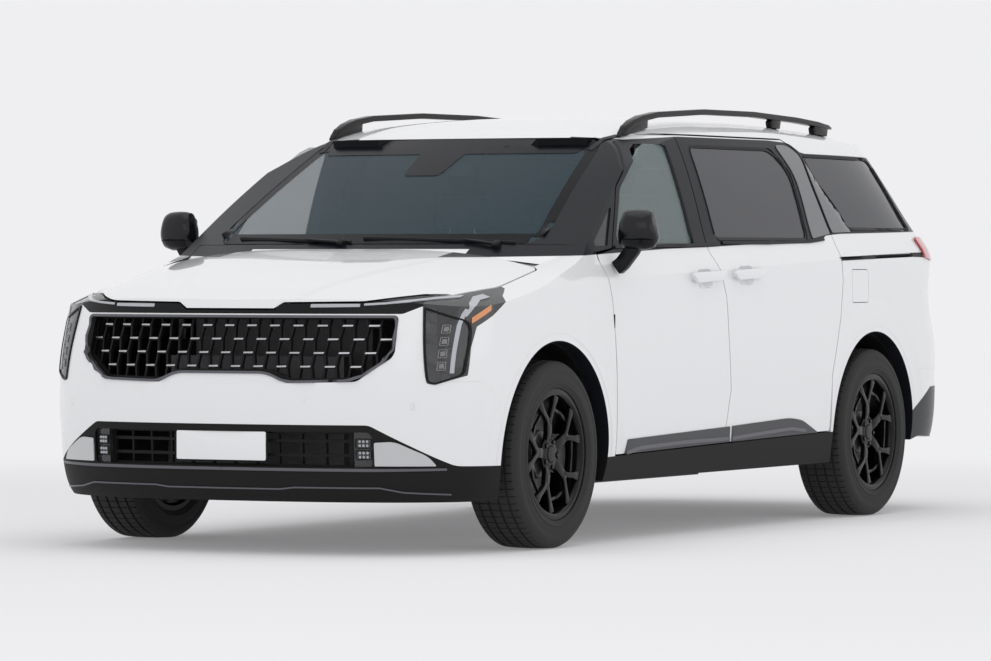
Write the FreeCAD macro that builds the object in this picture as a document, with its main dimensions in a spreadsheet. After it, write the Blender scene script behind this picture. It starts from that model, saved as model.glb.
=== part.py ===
"""Large passenger minivan with two front-hinged doors, two side doors, a hood, a tailgate and a fuel flap.

Frame: millimetres, +X forward, +Y to the vehicle's left, +Z up. The origin lies on the ground at the middle of the
overall length. The driving sizes are the cells of the sheet; every outline is worked out from them.
"""
import FreeCAD
import Part

import math
import os

import Sketcher

from FreeCAD import Placement, Rotation, Vector

doc = FreeCAD.newDocument("minivan")
sheet = doc.addObject("Spreadsheet::Sheet", "sizes")

SIZES = {
    # whole vehicle
    "overall_length": 5155,
    "body_width": 1995,
    "wheelbase": 3090,
    "front_overhang": 935,
    "track_width": 1748,
    "roof_height": 1752,
    "rail_height": 1775,
    "belt_height": 1200,
    "shoulder_height": 1098,
    "line_rise": 36,
    # walls and gaps
    "door_wall": 96,
    "frame_wall": 52,
    "roof_wall": 34,
    "hood_wall": 28,
    "glass_wall": 5,
    "glass_inset": 7,
    "door_gap": 7,
    "seat_gap": 0.3,
    # wheels
    "tyre_radius": 370.5,
    "tyre_width": 237,
    "rim_radius": 241.3,
    "rim_width": 206,
    "arch_radius": 445,
    "disc_radius": 163,
    "spindle_radius": 30,
    "bearing_gap": 0.06,
    # steering and hinges
    "hinge_pin_radius": 6,
    # cabin
    "floor_top": 330,
    "seat_width": 520,
    "wheel_rim_radius": 185,
}
for row, (alias, value) in enumerate(SIZES.items(), start=1):
    sheet.set(f"A{row}", alias)
    sheet.set(f"B{row}", str(value))
    sheet.setAlias(f"B{row}", alias)
doc.recompute()


def size(alias):
    """The value of one cell of the sheet."""
    return float(sheet.get(alias))


HALF_LENGTH = size("overall_length") / 2
HALF_WIDTH = size("body_width") / 2
FRONT_AXLE = HALF_LENGTH - size("front_overhang")
REAR_AXLE = FRONT_AXLE - size("wheelbase")
WHEEL_Y = size("track_width") / 2
AXLE_Z = size("tyre_radius")
GAP = size("door_gap")
SEAT = size("seat_gap")
BELT = size("belt_height")
SHOULDER = size("shoulder_height")
ROOF = size("roof_height")
RISE = size("line_rise") / 1000
FAR = 3000.0


# Plain helpers

def steps(points, x):
    """A smooth curve through points (x, value), flat at no overshoot, read at x."""
    points = sorted(points)
    if x <= points[0][0]:
        return points[0][1]
    if x >= points[-1][0]:
        return points[-1][1]
    xs = [p[0] for p in points]
    vs = [p[1] for p in points]
    slope = [(vs[i + 1] - vs[i]) / (xs[i + 1] - xs[i]) for i in range(len(xs) - 1)]
    tangent = [slope[0]]
    for i in range(1, len(slope)):
        same = slope[i - 1] * slope[i] > 0
        tangent.append(2 * slope[i - 1] * slope[i] / (slope[i - 1] + slope[i]) if same else 0.0)
    tangent.append(slope[-1])
    i = max(k for k in range(len(xs) - 1) if xs[k] <= x)
    run = xs[i + 1] - xs[i]
    u = (x - xs[i]) / run
    return (vs[i] * (1 + 2 * u) * (1 - u) ** 2 + vs[i + 1] * u * u * (3 - 2 * u)
            + tangent[i] * run * u * (1 - u) ** 2 - tangent[i + 1] * run * u * u * (1 - u))


NODES = []


def keep(name, shape):
    """A finished piece of the model, named as its node."""
    made = doc.addObject("Part::Feature", name)
    made.Shape = shape
    made.Label = name
    NODES.append(made)
    return made


def keep_pair(name, shape):
    """A piece on the left and the same piece mirrored on the right, as two nodes."""
    keep(name + "_left", shape)
    keep(name + "_right", flipped(shape))


def bound(alias, share=1.0, more=0.0):
    """A length as a number and as the rule that ties it to a cell of the sheet."""
    return size(alias) * share + more, f"sizes.{alias} * {share} + {more}"


def tied(made, path, value):
    """Set one property path of an object to a number, or to a bound length."""
    number, rule = value if isinstance(value, tuple) else (float(value), None)
    if rule:
        made.setExpression(path, rule)
    return number


def box_piece(name, low, high, node=True):
    """A Part box between two corners whose coordinates are numbers or bound lengths."""
    made = doc.addObject("Part::Box", name)
    made.Label = name
    corner = [tied(made, f"Placement.Base.{axis}", value) for axis, value in zip("xyz", low)]
    made.Placement = Placement(Vector(*corner), Rotation())
    for label, start, end in zip(("Length", "Width", "Height"), low, high):
        a, a_rule = start if isinstance(start, tuple) else (float(start), str(start))
        b, b_rule = end if isinstance(end, tuple) else (float(end), str(end))
        setattr(made, label, b - a)
        if isinstance(start, tuple) or isinstance(end, tuple):
            made.setExpression(label, f"({b_rule}) - ({a_rule})")
    if node:
        NODES.append(made)
    return made


def fused_piece(name, members):
    """One node that joins Part objects of the document."""
    made = doc.addObject("Part::MultiFuse", name)
    made.Label = name
    made.Shapes = members
    NODES.append(made)
    return made


def outline_sketch(body, name, plane, loops):
    """Closed loops of straight lines, each point held from the sketch's origin by two lengths."""
    made = body.newObject("Sketcher::SketchObject", name)
    made.AttachmentSupport = [(body.Origin.OriginFeatures[plane], "")]
    made.MapMode = "FlatFace"
    for loop in loops:
        first = made.GeometryCount
        values = [[length if isinstance(length, tuple) else (float(length), None) for length in spot] for spot in loop]
        corners = [Vector(across[0], along[0], 0) for across, along in values]
        count = len(corners)
        for i in range(count):
            made.addGeometry(Part.LineSegment(corners[i], corners[(i + 1) % count]))
        for i in range(count):
            made.addConstraint(Sketcher.Constraint("Coincident", first + i, 2, first + (i + 1) % count, 1))
        for i, spot in enumerate(values):
            for kind, (value, rule) in zip(("DistanceX", "DistanceY"), spot):
                number = made.addConstraint(Sketcher.Constraint(kind, -1, 1, first + i, 1, value))
                if rule:
                    made.setExpression(f"Constraints[{number}]", rule)
    return made


def flipped(shape):
    return shape.mirror(Vector(0, 0, 0), Vector(0, 1, 0))


def both(shape):
    """A piece and its mirror image in one node."""
    return Part.makeCompound(list(shape.Solids) + list(flipped(shape).Solids))


def together(*shapes):
    """Separate solids in one node."""
    return Part.makeCompound([one for shape in shapes for one in shape.Solids])


def largest(shape, count=1):
    """The largest solids of a boolean's result, so that slivers are dropped."""
    found = sorted(shape.Solids, key=lambda one: -one.Volume)[:count]
    return found[0] if count == 1 else Part.makeCompound(found)


def rounded_wire(points):
    """A closed wire through 3-D points (Vector, radius) whose corners are arcs of the radius."""
    count = len(points)
    ends = []
    for i, (here, radius) in enumerate(points):
        before = points[i - 1][0]
        after = points[(i + 1) % count][0]
        if radius <= 0:
            ends.append((here, None, here))
            continue
        a = (before - here).normalize()
        b = (after - here).normalize()
        half = a.getAngle(b) / 2
        reach = min(radius / math.tan(half), 0.49 * (before - here).Length, 0.49 * (after - here).Length)
        fitted = reach * math.tan(half)
        middle = (a + b).normalize() * (fitted / math.sin(half) - fitted)
        ends.append((here + a * reach, here + middle, here + b * reach))
    edges = []
    for i, (start, middle, end) in enumerate(ends):
        if middle is not None:
            edges.append(Part.Arc(start, middle, end).toShape())
        following = ends[(i + 1) % count][0]
        if (following - end).Length > 0.001:
            edges.append(Part.LineSegment(end, following).toShape())
    return Part.Wire(edges)


def side_prism(points, low, high, grow=0.0):
    """Points (x, z) or (x, z, radius) in side view, swept from y low to y high, and grown outwards by a gap."""
    wire = rounded_wire([(Vector(p[0], low, p[1]), p[2] if len(p) > 2 else 0) for p in points])
    if grow:
        wire = wire.makeOffset2D(grow)
    return Part.Face(wire).extrude(Vector(0, high - low, 0))


def front_prism(points, low, high, grow=0.0):
    """Points (y, z) or (y, z, radius) in front view, swept from x low to x high."""
    wire = rounded_wire([(Vector(low, p[0], p[1]), p[2] if len(p) > 2 else 0) for p in points])
    if grow:
        wire = wire.makeOffset2D(grow)
    return Part.Face(wire).extrude(Vector(high - low, 0, 0))


def top_prism(points, low, high, grow=0.0):
    """Points (x, y) or (x, y, radius) in top view, swept from z low to z high."""
    wire = rounded_wire([(Vector(p[0], p[1], low), p[2] if len(p) > 2 else 0) for p in points])
    if grow:
        wire = wire.makeOffset2D(grow)
    return Part.Face(wire).extrude(Vector(0, 0, high - low))


def both_sides(points):
    """A front-view outline given for the left, closed over the right."""
    return list(points) + [(-p[0],) + tuple(p[1:]) for p in reversed(points) if abs(p[0]) > 0.01]


def both_halves(points):
    """A plan outline given for the left, closed over the right."""
    return list(points) + [(p[0], -p[1]) + tuple(p[2:]) for p in reversed(points)]


def block(x0, x1, y0, y1, z0, z1):
    return Part.makeBox(x1 - x0, y1 - y0, z1 - z0, Vector(x0, y0, z0))


def rod(start, end, radius):
    axis = end - start
    return Part.makeCylinder(radius, axis.Length, start, axis)


# The outer form: plan outlines stacked up, under a hood, a windscreen and a roof

def plan_outline(height, rake, nose, tail, front, middle, rear, tail_round):
    """One closed plan curve. Height is at x = 0, rake tips it up towards the tail."""
    left = [
        (nose, 0.0), (nose - 10, 0.28 * middle), (nose - 48, 0.53 * middle), (nose - 130, 0.755 * middle),
        (nose - 258, 0.905 * front), (nose - 420, 0.985 * front), (nose - 700, front),
        (FRONT_AXLE - 300, front), (500, middle), (-300, middle), (REAR_AXLE + 300, rear),
        (tail + 620 * tail_round, 0.995 * rear), (tail + 380 * tail_round, 0.968 * rear),
        (tail + 205 * tail_round, 0.893 * rear), (tail + 75 * tail_round, 0.70 * rear),
        (tail + 15, 0.36 * rear), (tail, 0.0),
    ]
    poles = [Vector(x, y, height - rake * x) for x, y in left]
    poles += [Vector(x, -y, height - rake * x) for x, y in left[-2:0:-1]]
    curve = Part.BSplineCurve()
    curve.buildFromPolesMultsKnots(poles, [1] * (len(poles) + 1), list(range(len(poles) + 1)), True, 3)
    return Part.Wire([curve.toShape()])


def level(share, height, rake, nose, tail, front, middle, rear, tail_round=1.0):
    """One level of the body. nose and tail are set-backs from the ends, and the widths are insets from the half."""
    return (height, rake * RISE, HALF_LENGTH - nose, -HALF_LENGTH + tail, HALF_WIDTH - front,
            HALF_WIDTH - middle, HALF_WIDTH - rear, tail_round, share)


# share is 0 for the doors' full wall and 1 for the thin wall of the window frames
LOWER_LEVELS = [
    level(0, 180, 0.0, 78, 150, 55, 62, 62),
    level(0, 260, 0.0, 22, 70, 24, 34, 32),
    level(0, 350, 0.0, 12, 22, 9, 20, 14),
    level(0, 500, 0.2, 4, 2, 1, 11, 3),
    level(0, 620, 0.4, 0, 0, 0, 6, 1),
    level(0, 740, 0.5, 6, 12, 1, 5, 2),
    level(0, 840, 0.7, 20, 52, 4, 6, 5),
    level(0, 960, 0.85, 52, 62, 8, 10, 8),
    level(0, SHOULDER, 1.0, 96, 74, 16, 18, 16),
]
UPPER_LEVELS = [
    level(0, SHOULDER, 1.0, 96, 74, 16, 18, 16),
    level(0.4, SHOULDER + 46, 1.0, 110, 84, 36, 36, 38, 1.05),
    level(0.9, BELT + 6, 1.0, 130, 104, 66, 62, 66, 1.15),
    level(1, BELT + 130, 0.8, 170, 166, 108, 98, 104, 1.25),
    level(1, BELT + 280, 0.5, 220, 252, 160, 143, 152, 1.3),
    level(1, BELT + 430, 0.2, 280, 336, 224, 200, 214, 1.35),
    level(1, BELT + 500, 0.0, 320, 372, 268, 240, 256, 1.4),
    level(1, BELT + 570, 0.0, 350, 420, 330, 300, 318, 1.45),
]


def stack(levels, inset=0.0, thick=None):
    """The solid through a set of levels, drawn in by one inset, or by the wall that thick(share) gives."""
    wires = []
    for height, rake, nose, tail, front, middle, rear, tail_round, share in levels:
        by = inset if thick is None else thick(share)
        wires.append(plan_outline(height, rake, nose - by, tail + by, front - by, middle - by, rear - by, tail_round))
    return Part.makeLoft(wires, True, False)


def envelope(inset=0.0, thick=None):
    return stack(LOWER_LEVELS, inset, thick).fuse(stack(UPPER_LEVELS, inset, thick))


def height_field(height, xs, ys, depth):
    """The solid under a smooth surface z = height(x, y)."""
    surface = Part.BSplineSurface()
    surface.interpolate([[Vector(x, y, height(x, y)) for y in ys] for x in xs])
    return surface.toShape().extrude(Vector(0, 0, -depth))


def span(start, end, count):
    return [start + (end - start) * i / (count - 1) for i in range(count)]


HOOD_LINE = [
    (HALF_LENGTH + 200, 880), (HALF_LENGTH - 50, 962), (HALF_LENGTH - 160, 1012), (HALF_LENGTH - 420, 1084),
    (HALF_LENGTH - 750, 1145), (HALF_LENGTH - 1060, 1186), (HALF_LENGTH - 1400, 1206), (HALF_LENGTH - 1800, 1212),
]
ROOF_LINE = [
    (1600, ROOF - 456), (1400, ROOF - 380), (900, ROOF - 190), (560, ROOF - 92), (380, ROOF - 55), (150, ROOF - 23), (-250, ROOF - 3),
    (-700, ROOF), (-1200, ROOF - 12), (-1700, ROOF - 38), (-2000, ROOF - 64), (-2300, ROOF - 102), (-2700, ROOF - 170),
]
SCREEN_BASE_X = FRONT_AXLE - 105
SCREEN_BASE_Z = 1180.0
SCREEN_TOP_X = FRONT_AXLE - 1050
SCREEN_TOP_Z = 1652.0


def hood_height(x, y, drop=0.0):
    """The hood's crown falls away towards its edges, less so near the windscreen."""
    fall = steps([(1250, 40), (1450, 85), (1750, 118), (2400, 150)], x)
    return steps(HOOD_LINE, x) - fall * (abs(y) / 960) ** 3.2 - drop


def roof_height(x, y, drop=0.0):
    across = min(abs(y), 840)
    return steps(ROOF_LINE, x) - 26 * (across / 700) ** 2 - 30 * (across / 760) ** 8 - drop


def screen_x(y, z, drop=0.0):
    """The windscreen's surface, swept back towards the pillars and bowed a little along its slope."""
    share = (z - SCREEN_BASE_Z) / (SCREEN_TOP_Z - SCREEN_BASE_Z)
    line = SCREEN_BASE_X + (SCREEN_TOP_X - SCREEN_BASE_X) * share + 46 * share * (1 - share) * 2
    sweep = 170 - 75 * share
    return line - sweep * (y / 750) ** 2 - drop


def hood_block(drop=0.0):
    return height_field(lambda x, y: hood_height(x, y, drop), span(900, HALF_LENGTH + 200, 16),
                        span(-1100, 1100, 21), 1500)


def roof_block(drop=0.0):
    return height_field(lambda x, y: roof_height(x, y, drop), span(-2700, 1595, 23), span(-1120, 1120, 17), 1900)


def screen_block(drop=0.0):
    surface = Part.BSplineSurface()
    grid = [[Vector(screen_x(y, z, drop), y, z) for z in span(-150, 2050, 23)] for y in span(-1100, 1100, 15)]
    surface.interpolate(grid)
    return surface.toShape().extrude(Vector(-5200, 0, 0))


def lower_thick(share):
    return size("door_wall") + (size("frame_wall") - size("door_wall")) * share


outer_stack = envelope()
cabin_top = roof_block().common(screen_block())
outer_form = outer_stack.common(cabin_top.fuse(hood_block()))

FIREWALL_X = FRONT_AXLE - 330
FLOOR = size("floor_top")
inner_stack = envelope(thick=lower_thick)
cabin_room = (inner_stack.common(roof_block(size("roof_wall"))).common(screen_block(size("roof_wall")))
              .common(block(-FAR, FIREWALL_X, -FAR, FAR, FLOOR, FAR)))
bay_room = (envelope(inset=70).common(hood_block(size("hood_wall")))
            .common(block(FIREWALL_X + 40, HALF_LENGTH - 110, -FAR, FAR, 100, FAR)))
under_room = inner_stack.common(block(-FAR, FIREWALL_X + 60, -FAR, FAR, 100, FLOOR + 1))


def arch(axle, radius, inner):
    """Both wheel arches of one axle, open to the outside."""
    reach = HALF_WIDTH + 200
    left = Part.makeCylinder(radius, reach - inner, Vector(axle, inner, AXLE_Z), Vector(0, 1, 0))
    return left.fuse(flipped(left))


ARCH = size("arch_radius")
FRONT_WELL = 530.0
REAR_WELL = 690.0
shell = outer_form.cut([cabin_room, bay_room, under_room, arch(FRONT_AXLE, ARCH, FRONT_WELL),
                        arch(REAR_AXLE, ARCH, REAR_WELL)])
side = shell.common(block(-FAR, FAR, 0, FAR, -FAR, FAR))

# Hinge lines: x and y of upright ones, x and z of crosswise ones
DOOR_HINGE = (FRONT_AXLE - 557, HALF_WIDTH - 27)
HOOD_HINGE = (FRONT_AXLE - 82, 1112.0)
GATE_HINGE = (-1985.0, 1660.0)
GATE_ROLL = 40.0
FLAP_HINGE = (-1215.0, HALF_WIDTH - 20)


def upright(x, y, z0, z1, radius):
    return Part.makeCylinder(radius, z1 - z0, Vector(x, y, z0))


def crosswise(x, z, y0, y1, radius):
    return Part.makeCylinder(radius, y1 - y0, Vector(x, y0, z), Vector(0, 1, 0))


def turned_about_door_pin(profile, grow=0.0):
    """Everything within radius r(z) of the door's hinge line, from a list of (z, r)."""
    x, y = DOOR_HINGE
    points = [Vector(x, y, profile[0][0])] + [Vector(x + r + grow, y, z) for z, r in profile]
    points.append(Vector(x, y, profile[-1][0]))
    face = Part.Face(Part.makePolygon(points + [points[0]]))
    return face.revolve(Vector(x, y, 0), Vector(0, 0, 1), 360)


SILL_LINE = [(1250, 345), (-1000, 385)]


def sill_at(x, rise=0.0):
    (x0, z0), (x1, z1) = SILL_LINE
    return z0 + (z1 - z0) * (x0 - x) / (x0 - x1) + rise


# Front door: its leading and trailing edges are turned about its own hinge line
DOOR_FRONT = [(300, 42), (430, 43), (808, 56), (960, 68), (1060, 92), (1128, 113), (1190, 113)]
DOOR_REAR = [(300, 993), (430, 993), (590, 1031), (808, 1008), (980, 996), (1080, 956), (1165, 906),
             (1300, 908), (1700, 925)]
DOOR_HINGE_HEIGHTS = (500.0, 860.0)
HINGE_TALL = 56.0
door_outline = [
    (1215, sill_at(1215, GAP)), (1215, 1150), (1040, 1176, 15), (868, 1430, 60), (585, 1600, 80), (500, 1650, 50),
    (150, 1655), (40, 1655), (40, sill_at(40, GAP)),
]
front_window = [(1000, 1200, 25), (838, 1425, 70), (560, 1590, 60), (490, 1614, 40), (302, 1616, 45), (292, 1200, 30)]
hx, hy = DOOR_HINGE
inside_rear = turned_about_door_pin(DOOR_REAR)
past_front = block(hx, 1400, 600, 1200, 200, 1300).cut(turned_about_door_pin(DOOR_FRONT))
door_zone = side_prism(door_outline, 690, 1200).common(inside_rear).cut(past_front)
front_door = largest(side.common(door_zone))


def hinge_slot(z):
    """Room round a hinge eye and for its arm as the door turns."""
    room = upright(hx, hy, z, z + HINGE_TALL, 18)
    arm_room = Part.makeCylinder(70, HINGE_TALL, Vector(hx, hy, z), Vector(0, 0, 1), 108)
    arm_room.rotate(Vector(hx, hy, z), Vector(0, 0, 1), -88)
    return room.fuse(arm_room)


def hinge_arm(z):
    """A fixed eye on an arm that comes from the pillar ahead of the door."""
    low = z + SEAT
    tall = HINGE_TALL - 2 * SEAT
    eye = upright(hx, hy, low, low + tall, 12)
    arm = Part.makeBox(78, 10, tall, Vector(hx, hy - 5, low))
    arm.rotate(Vector(hx, hy, 0), Vector(0, 0, 1), -68)
    return eye.fuse(arm).cut(upright(hx, hy, z - 20, z + 100, size("hinge_pin_radius") + size("bearing_gap")))


door_pins = [upright(hx, hy, z - 8, z + HINGE_TALL + 8, size("hinge_pin_radius")) for z in DOOR_HINGE_HEIGHTS]

# Sliding door, seen from the left
slide_outline = [
    (300, 1655), (-905, 1655, 60), (-1035, 1602, 60), (-1040, 1462, 60), (-1098, 1246, 60), (-1105, 1050, 60),
    (-1070, 880, 60), (-975, 640, 60), (-960, sill_at(-960, GAP)), (300, sill_at(300, GAP)),
]
slide_window = [(76, 1214, 30), (90, 1618, 45), (-745, 1618, 70), (-868, 1512, 60), (-850, 1214, 45)]
quarter_window = [(-1303, 1262, 30), (-1262, 1332, 80), (-1092, 1495, 120), (-1056, 1596, 30), (-1880, 1592, 80),
                  (-2040, 1264, 30)]
past_door = turned_about_door_pin(DOOR_REAR, GAP)
slide_door = largest(side.common(side_prism(slide_outline, 690, 1200)).cut(past_door))

# What the doors leave of each side
door_grown = (side_prism([(1215, 200), (1215, 1157)] + door_outline[2:6] + [(40, 1655), (40, 200)], 690, 1200, GAP)
              .common(past_door))
fender_clear = turned_about_door_pin(DOOR_FRONT, GAP).fuse(block(0, hx + GAP, 600, 1200, 200, 1157))
sill_band = side_prism([(1320, 100), (1320, sill_at(1320)), (-1120, sill_at(-1120)), (-1120, 100)], 690, 1200)
door_opening = side_prism(slide_outline, 690, 1200, GAP).fuse(door_grown)

# Roof panel
TOP_SEAM = 628.0
gate_roll_room = crosswise(GATE_HINGE[0], GATE_HINGE[1], -1000, 1000, GATE_ROLL + GAP)
behind_roof = gate_roll_room.fuse(block(-FAR, GATE_HINGE[0], -1000, 1000, 1400, 2000))
windscreen_outline = both_sides([(768, 1196, 70), (652, 1640, 70)])
windscreen_zone = front_prism(windscreen_outline, 380, 1700)
roof_zone = block(-2100, 800, -TOP_SEAM, TOP_SEAM, 1500, 2000).cut(behind_roof)
roof_panel = largest(shell.common(roof_zone).cut(windscreen_zone).cut(block(560, 1000, -800, 800, 1400, 1640)))

# Hood, in plan
HOOD_SIDE = 878.0
HOOD_REAR = HOOD_HINGE[0] + 40
hood_plan = both_halves([(HALF_LENGTH + 300, 560), (HALF_LENGTH - 170, 742, 60), (HALF_LENGTH - 420, 812, 200),
                         (HALF_LENGTH - 640, HOOD_SIDE, 200), (HOOD_REAR, HOOD_SIDE, 30)])
HOOD_LIP = 948.0
# The leading edge dips in the middle, and what lies under it on each side belongs to the light bar
under_lip = [(195, HOOD_LIP), (233, 972, 20), (560, 976, 300), (724, 1003, 60), (1000, 1003), (1000, 800), (195, 800)]
hood = largest(shell.common(top_prism(hood_plan, HOOD_LIP, 1500)))
under_left = front_prism(under_lip, 2180, FAR)
hood = largest(hood.cut([under_left, flipped(under_left)]))
hood_grown = top_prism(hood_plan, HOOD_LIP - GAP, 1500, GAP)
under_left = front_prism(under_lip, 2180 + GAP, FAR, -GAP)
hood_grown = hood_grown.cut([under_left, flipped(under_left)])
HOOD_LUG_Y = 660.0
px, pz = HOOD_HINGE
hood_lug = side_prism([(px - 12, pz - 12, 11), (px + 60, pz - 12, 8), (px + 100, pz + 30, 8), (px + 60, pz + 50, 8),
                       (px + 30, pz + 12, 8), (px - 12, pz + 12, 11)], HOOD_LUG_Y - 5, HOOD_LUG_Y + 5)
hood_lug = hood_lug.common(hood_block(2)).cut(crosswise(px, pz, 600, 700, 6 + size("bearing_gap")))
hood = hood.fuse([hood_lug, flipped(hood_lug)])
lug_room = block(px - 25, HOOD_REAR + 30, HOOD_LUG_Y - 12, HOOD_LUG_Y + 12, pz - 60, pz + 200)
hood_pin = crosswise(px, pz, HOOD_LUG_Y - 13, HOOD_LUG_Y + 13, 6)

# Tailgate, in rear view, and how far forward its edge runs
gx, gz = GATE_HINGE
gate_outline = both_sides([(700, 560, 60), (742, 640, 60), (806, 900, 80), (806, 1080, 80), (770, 1200, 80),
                           (650, 1610, 80), (600, 1800)])
gate_side = [(gx, 1820), (gx, 1600), (-2060, 1440), (-2170, 1220), (-2320, 1060),
             (-2345, 640), (-2345, 500), (-FAR, 500), (-FAR, 1820)]
gate_depth = side_prism(gate_side, -950, 950).fuse(crosswise(gx, gz, -950, 950, GATE_ROLL))
gate = largest(shell.common(front_prism(gate_outline, -FAR, -1900)).common(gate_depth))
# Inside its outer flange the gate is narrower, so that its edge leaves the frame before it rises past it
GATE_FLANGE = 26.0
GATE_STEP = 32.0
inner_gate = front_prism(gate_outline, -FAR, -1900, -GATE_STEP)
gate = largest(gate.cut(envelope(inset=GATE_FLANGE).common(roof_block(GATE_FLANGE)).cut(inner_gate)))
gate_grown = (front_prism(gate_outline, -FAR, -1900, GAP)
              .common(side_prism(gate_side, -950, 950, GAP).fuse(gate_roll_room)))
gate_window = both_sides([(640, 1215, 50), (560, 1560, 60)])
GATE_LUG_Y = 450.0
gate_arm = side_prism([(gx - 9, gz + 9, 8), (gx + 9, gz + 9, 8), (gx + 12, gz - 44), (gx + 62, gz - 44), (gx + 62, gz + 5),
                       (gx + 100, gz + 5), (gx + 100, gz - 62, 8), (gx - 9, gz - 62, 8)],
                      GATE_LUG_Y - 8, GATE_LUG_Y + 8)
gate_arm = gate_arm.common(roof_block(8)).cut(crosswise(gx, gz, 300, 600, 5 + size("bearing_gap")))
roof_panel = largest(roof_panel.fuse([gate_arm, flipped(gate_arm)]))
gate_slot = Part.makeCylinder(GATE_ROLL + 30, 26, Vector(gx, GATE_LUG_Y - 13, gz), Vector(0, 1, 0), 128)
gate_slot.rotate(Vector(gx, GATE_LUG_Y, gz), Vector(0, 1, 0), -16)
gate_slot = gate_slot.fuse([crosswise(gx, gz, GATE_LUG_Y - 13, GATE_LUG_Y + 13, 14),
                            block(gx - 15, gx + 15, GATE_LUG_Y - 13, GATE_LUG_Y + 13, gz - 72, gz),
                            block(gx, gx + 70, GATE_LUG_Y - 13, GATE_LUG_Y + 13, gz - 15, gz + 14)])
gate_pin = crosswise(gx, gz, GATE_LUG_Y - 15, GATE_LUG_Y + 15, 5)
gate = gate.cut([gate_slot, flipped(gate_slot)]).fuse([gate_pin, flipped(gate_pin)])

# Front openings, in front view
BUMPER_LOW = 205.0
ROCKER_LOW = 250.0
grille_outline = both_sides([(201, 697, 30), (285, 661, 30), (565, 668, 50), (698, 766, 50), (692, 922, 20)])
lamp_outline = [(802, 690, 12), (808, 662, 10), (833, 656, 10), (915, 690, 20), (1100, 740), (1100, 1100), (747, 1100)]
lamp_side = [(1926, 1024), (2003, 995, 30), (2122, 919, 40), (2203, 878, 20), (2241, 798, 60), (2264, 700, 20),
             (2300, 600), (FAR, 600), (FAR, 1100), (1926, 1100)]
lamp_zone = front_prism(lamp_outline, 1900, FAR).common(side_prism(lamp_side, 500, 1200)).cut(hood_grown)
head_lamp = largest(side.common(lamp_zone))
bumper_side = [(1980, 100), (2085, 420, 40), (2112, 604, 40), (2208, 668), (FAR, 668), (FAR, 100)]
# The light bar's lower edge, from the middle outwards
LIGHT_LINE = [(845, 957), (765, 956, 40), (704, 927, 40)]
bumper_zone = (side_prism(bumper_side, -1200, 1200)
               .fuse(front_prism(both_sides([(845, 600)] + LIGHT_LINE), 2190, FAR)))
front_bumper = shell.common(bumper_zone).cut([front_prism(grille_outline, 1900, FAR), hood_grown])
front_bumper = front_bumper.cut([lamp_zone, flipped(lamp_zone)])
light_zone = front_prism(both_sides([(845, 1100)] + LIGHT_LINE), 2190, FAR, -SEAT)
light_bar = shell.common(light_zone).cut([hood_grown, lamp_zone, flipped(lamp_zone), block(2150, 2400, -600, 600, 900, 1100)])
light_bar = largest(light_bar)

# Below a line that falls away to the sides the bumper is a second piece, open in the middle
lower_face = both_sides([(1100, 100), (1100, 337), (885, 345, 60), (757, 420, 60), (610, 502, 60)])
lower_opening = both_sides([(619, 341, 15), (622, 475, 25)])
bumper_lower = front_bumper.common(front_prism(lower_face, 1900, FAR)).cut(front_prism(lower_opening, 1900, FAR))
bumper_lower = largest(bumper_lower.cut(block(0, FAR, -FAR, FAR, 0, BUMPER_LOW)))
front_bumper = largest(front_bumper.cut(front_prism(lower_face, 1900, FAR, SEAT)))

# Fenders, cowl and bulkhead
COWL_SIDE = HOOD_SIDE + GAP
cowl_zone = block(1180, HOOD_REAR - GAP, -COWL_SIDE, COWL_SIDE, 1040, 1300)
cowl_recess = shell.common(block(1300, HOOD_REAR, -COWL_SIDE + 30, COWL_SIDE - 30, 1000, 1300)).cut(screen_block(2)).cut(hood_block(38))
cowl_tray = hood_block(38).common(block(FIREWALL_X, HOOD_REAR - GAP, -850, 850, 1000, 1300)).cut(hood_block(64))
cowl = shell.common(cowl_zone).common(block(0, FAR, -FAR, FAR, 0, 1195.5)).cut(cowl_recess).fuse(cowl_tray)
cowl = cowl.cut([lug_room, flipped(lug_room)]).fuse([hood_pin, flipped(hood_pin)])
bulkhead = largest(shell.common(block(FIREWALL_X - 5, FIREWALL_X + 45, -COWL_SIDE, COWL_SIDE, 180, 1039.7)))
fender_side = [
    (1000, sill_at(1000, SEAT)), (1000, 1160), (1215, 1160), (1330, 1148), (1440, 1148), (1560, 1260), (2600, 1260),
    (2600, 668 + SEAT), (2208, 668 + SEAT), (2112 - SEAT, 604, 40), (2085 - SEAT, 420, 40), (2060, sill_at(2060, SEAT)),
]
fender = side.common(side_prism(fender_side, 745, 1200))
fender = fender.cut([fender_clear, hood_grown, block(1000, HOOD_REAR - GAP, 0, COWL_SIDE + SEAT, 0, 1300),
                     front_prism(lamp_outline, 1900, FAR, SEAT).common(side_prism(lamp_side, 500, 1200, SEAT)),
                     block(2190, FAR, 0, 845 + SEAT, 0, 1300)])
fender = largest(fender).fuse([hinge_arm(z) for z in DOOR_HINGE_HEIGHTS])
front_door = largest(front_door.cut([hinge_slot(z) for z in DOOR_HINGE_HEIGHTS])).fuse(door_pins)

# Side frame: windscreen pillar and the rail over the doors
frame_zone = side_prism([(-980, 1500), (-980, 2000), (900, 2000), (1600, 1400), (1600, 1148.3), (1330, 1148.3),
                         (1215, 1160.3), (1000, 1160.3)], 0, 1200)
side_frame = side.common(frame_zone).cut([door_opening, block(-2100, 2000, -FAR, TOP_SEAM + SEAT, 1500, 2000),
                                          front_prism(windscreen_outline, 300, 1700, SEAT),
                                          block(1000, 1700, 0, COWL_SIDE + SEAT, 0, 1196), hood_grown])
side_frame = largest(side_frame)

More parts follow.
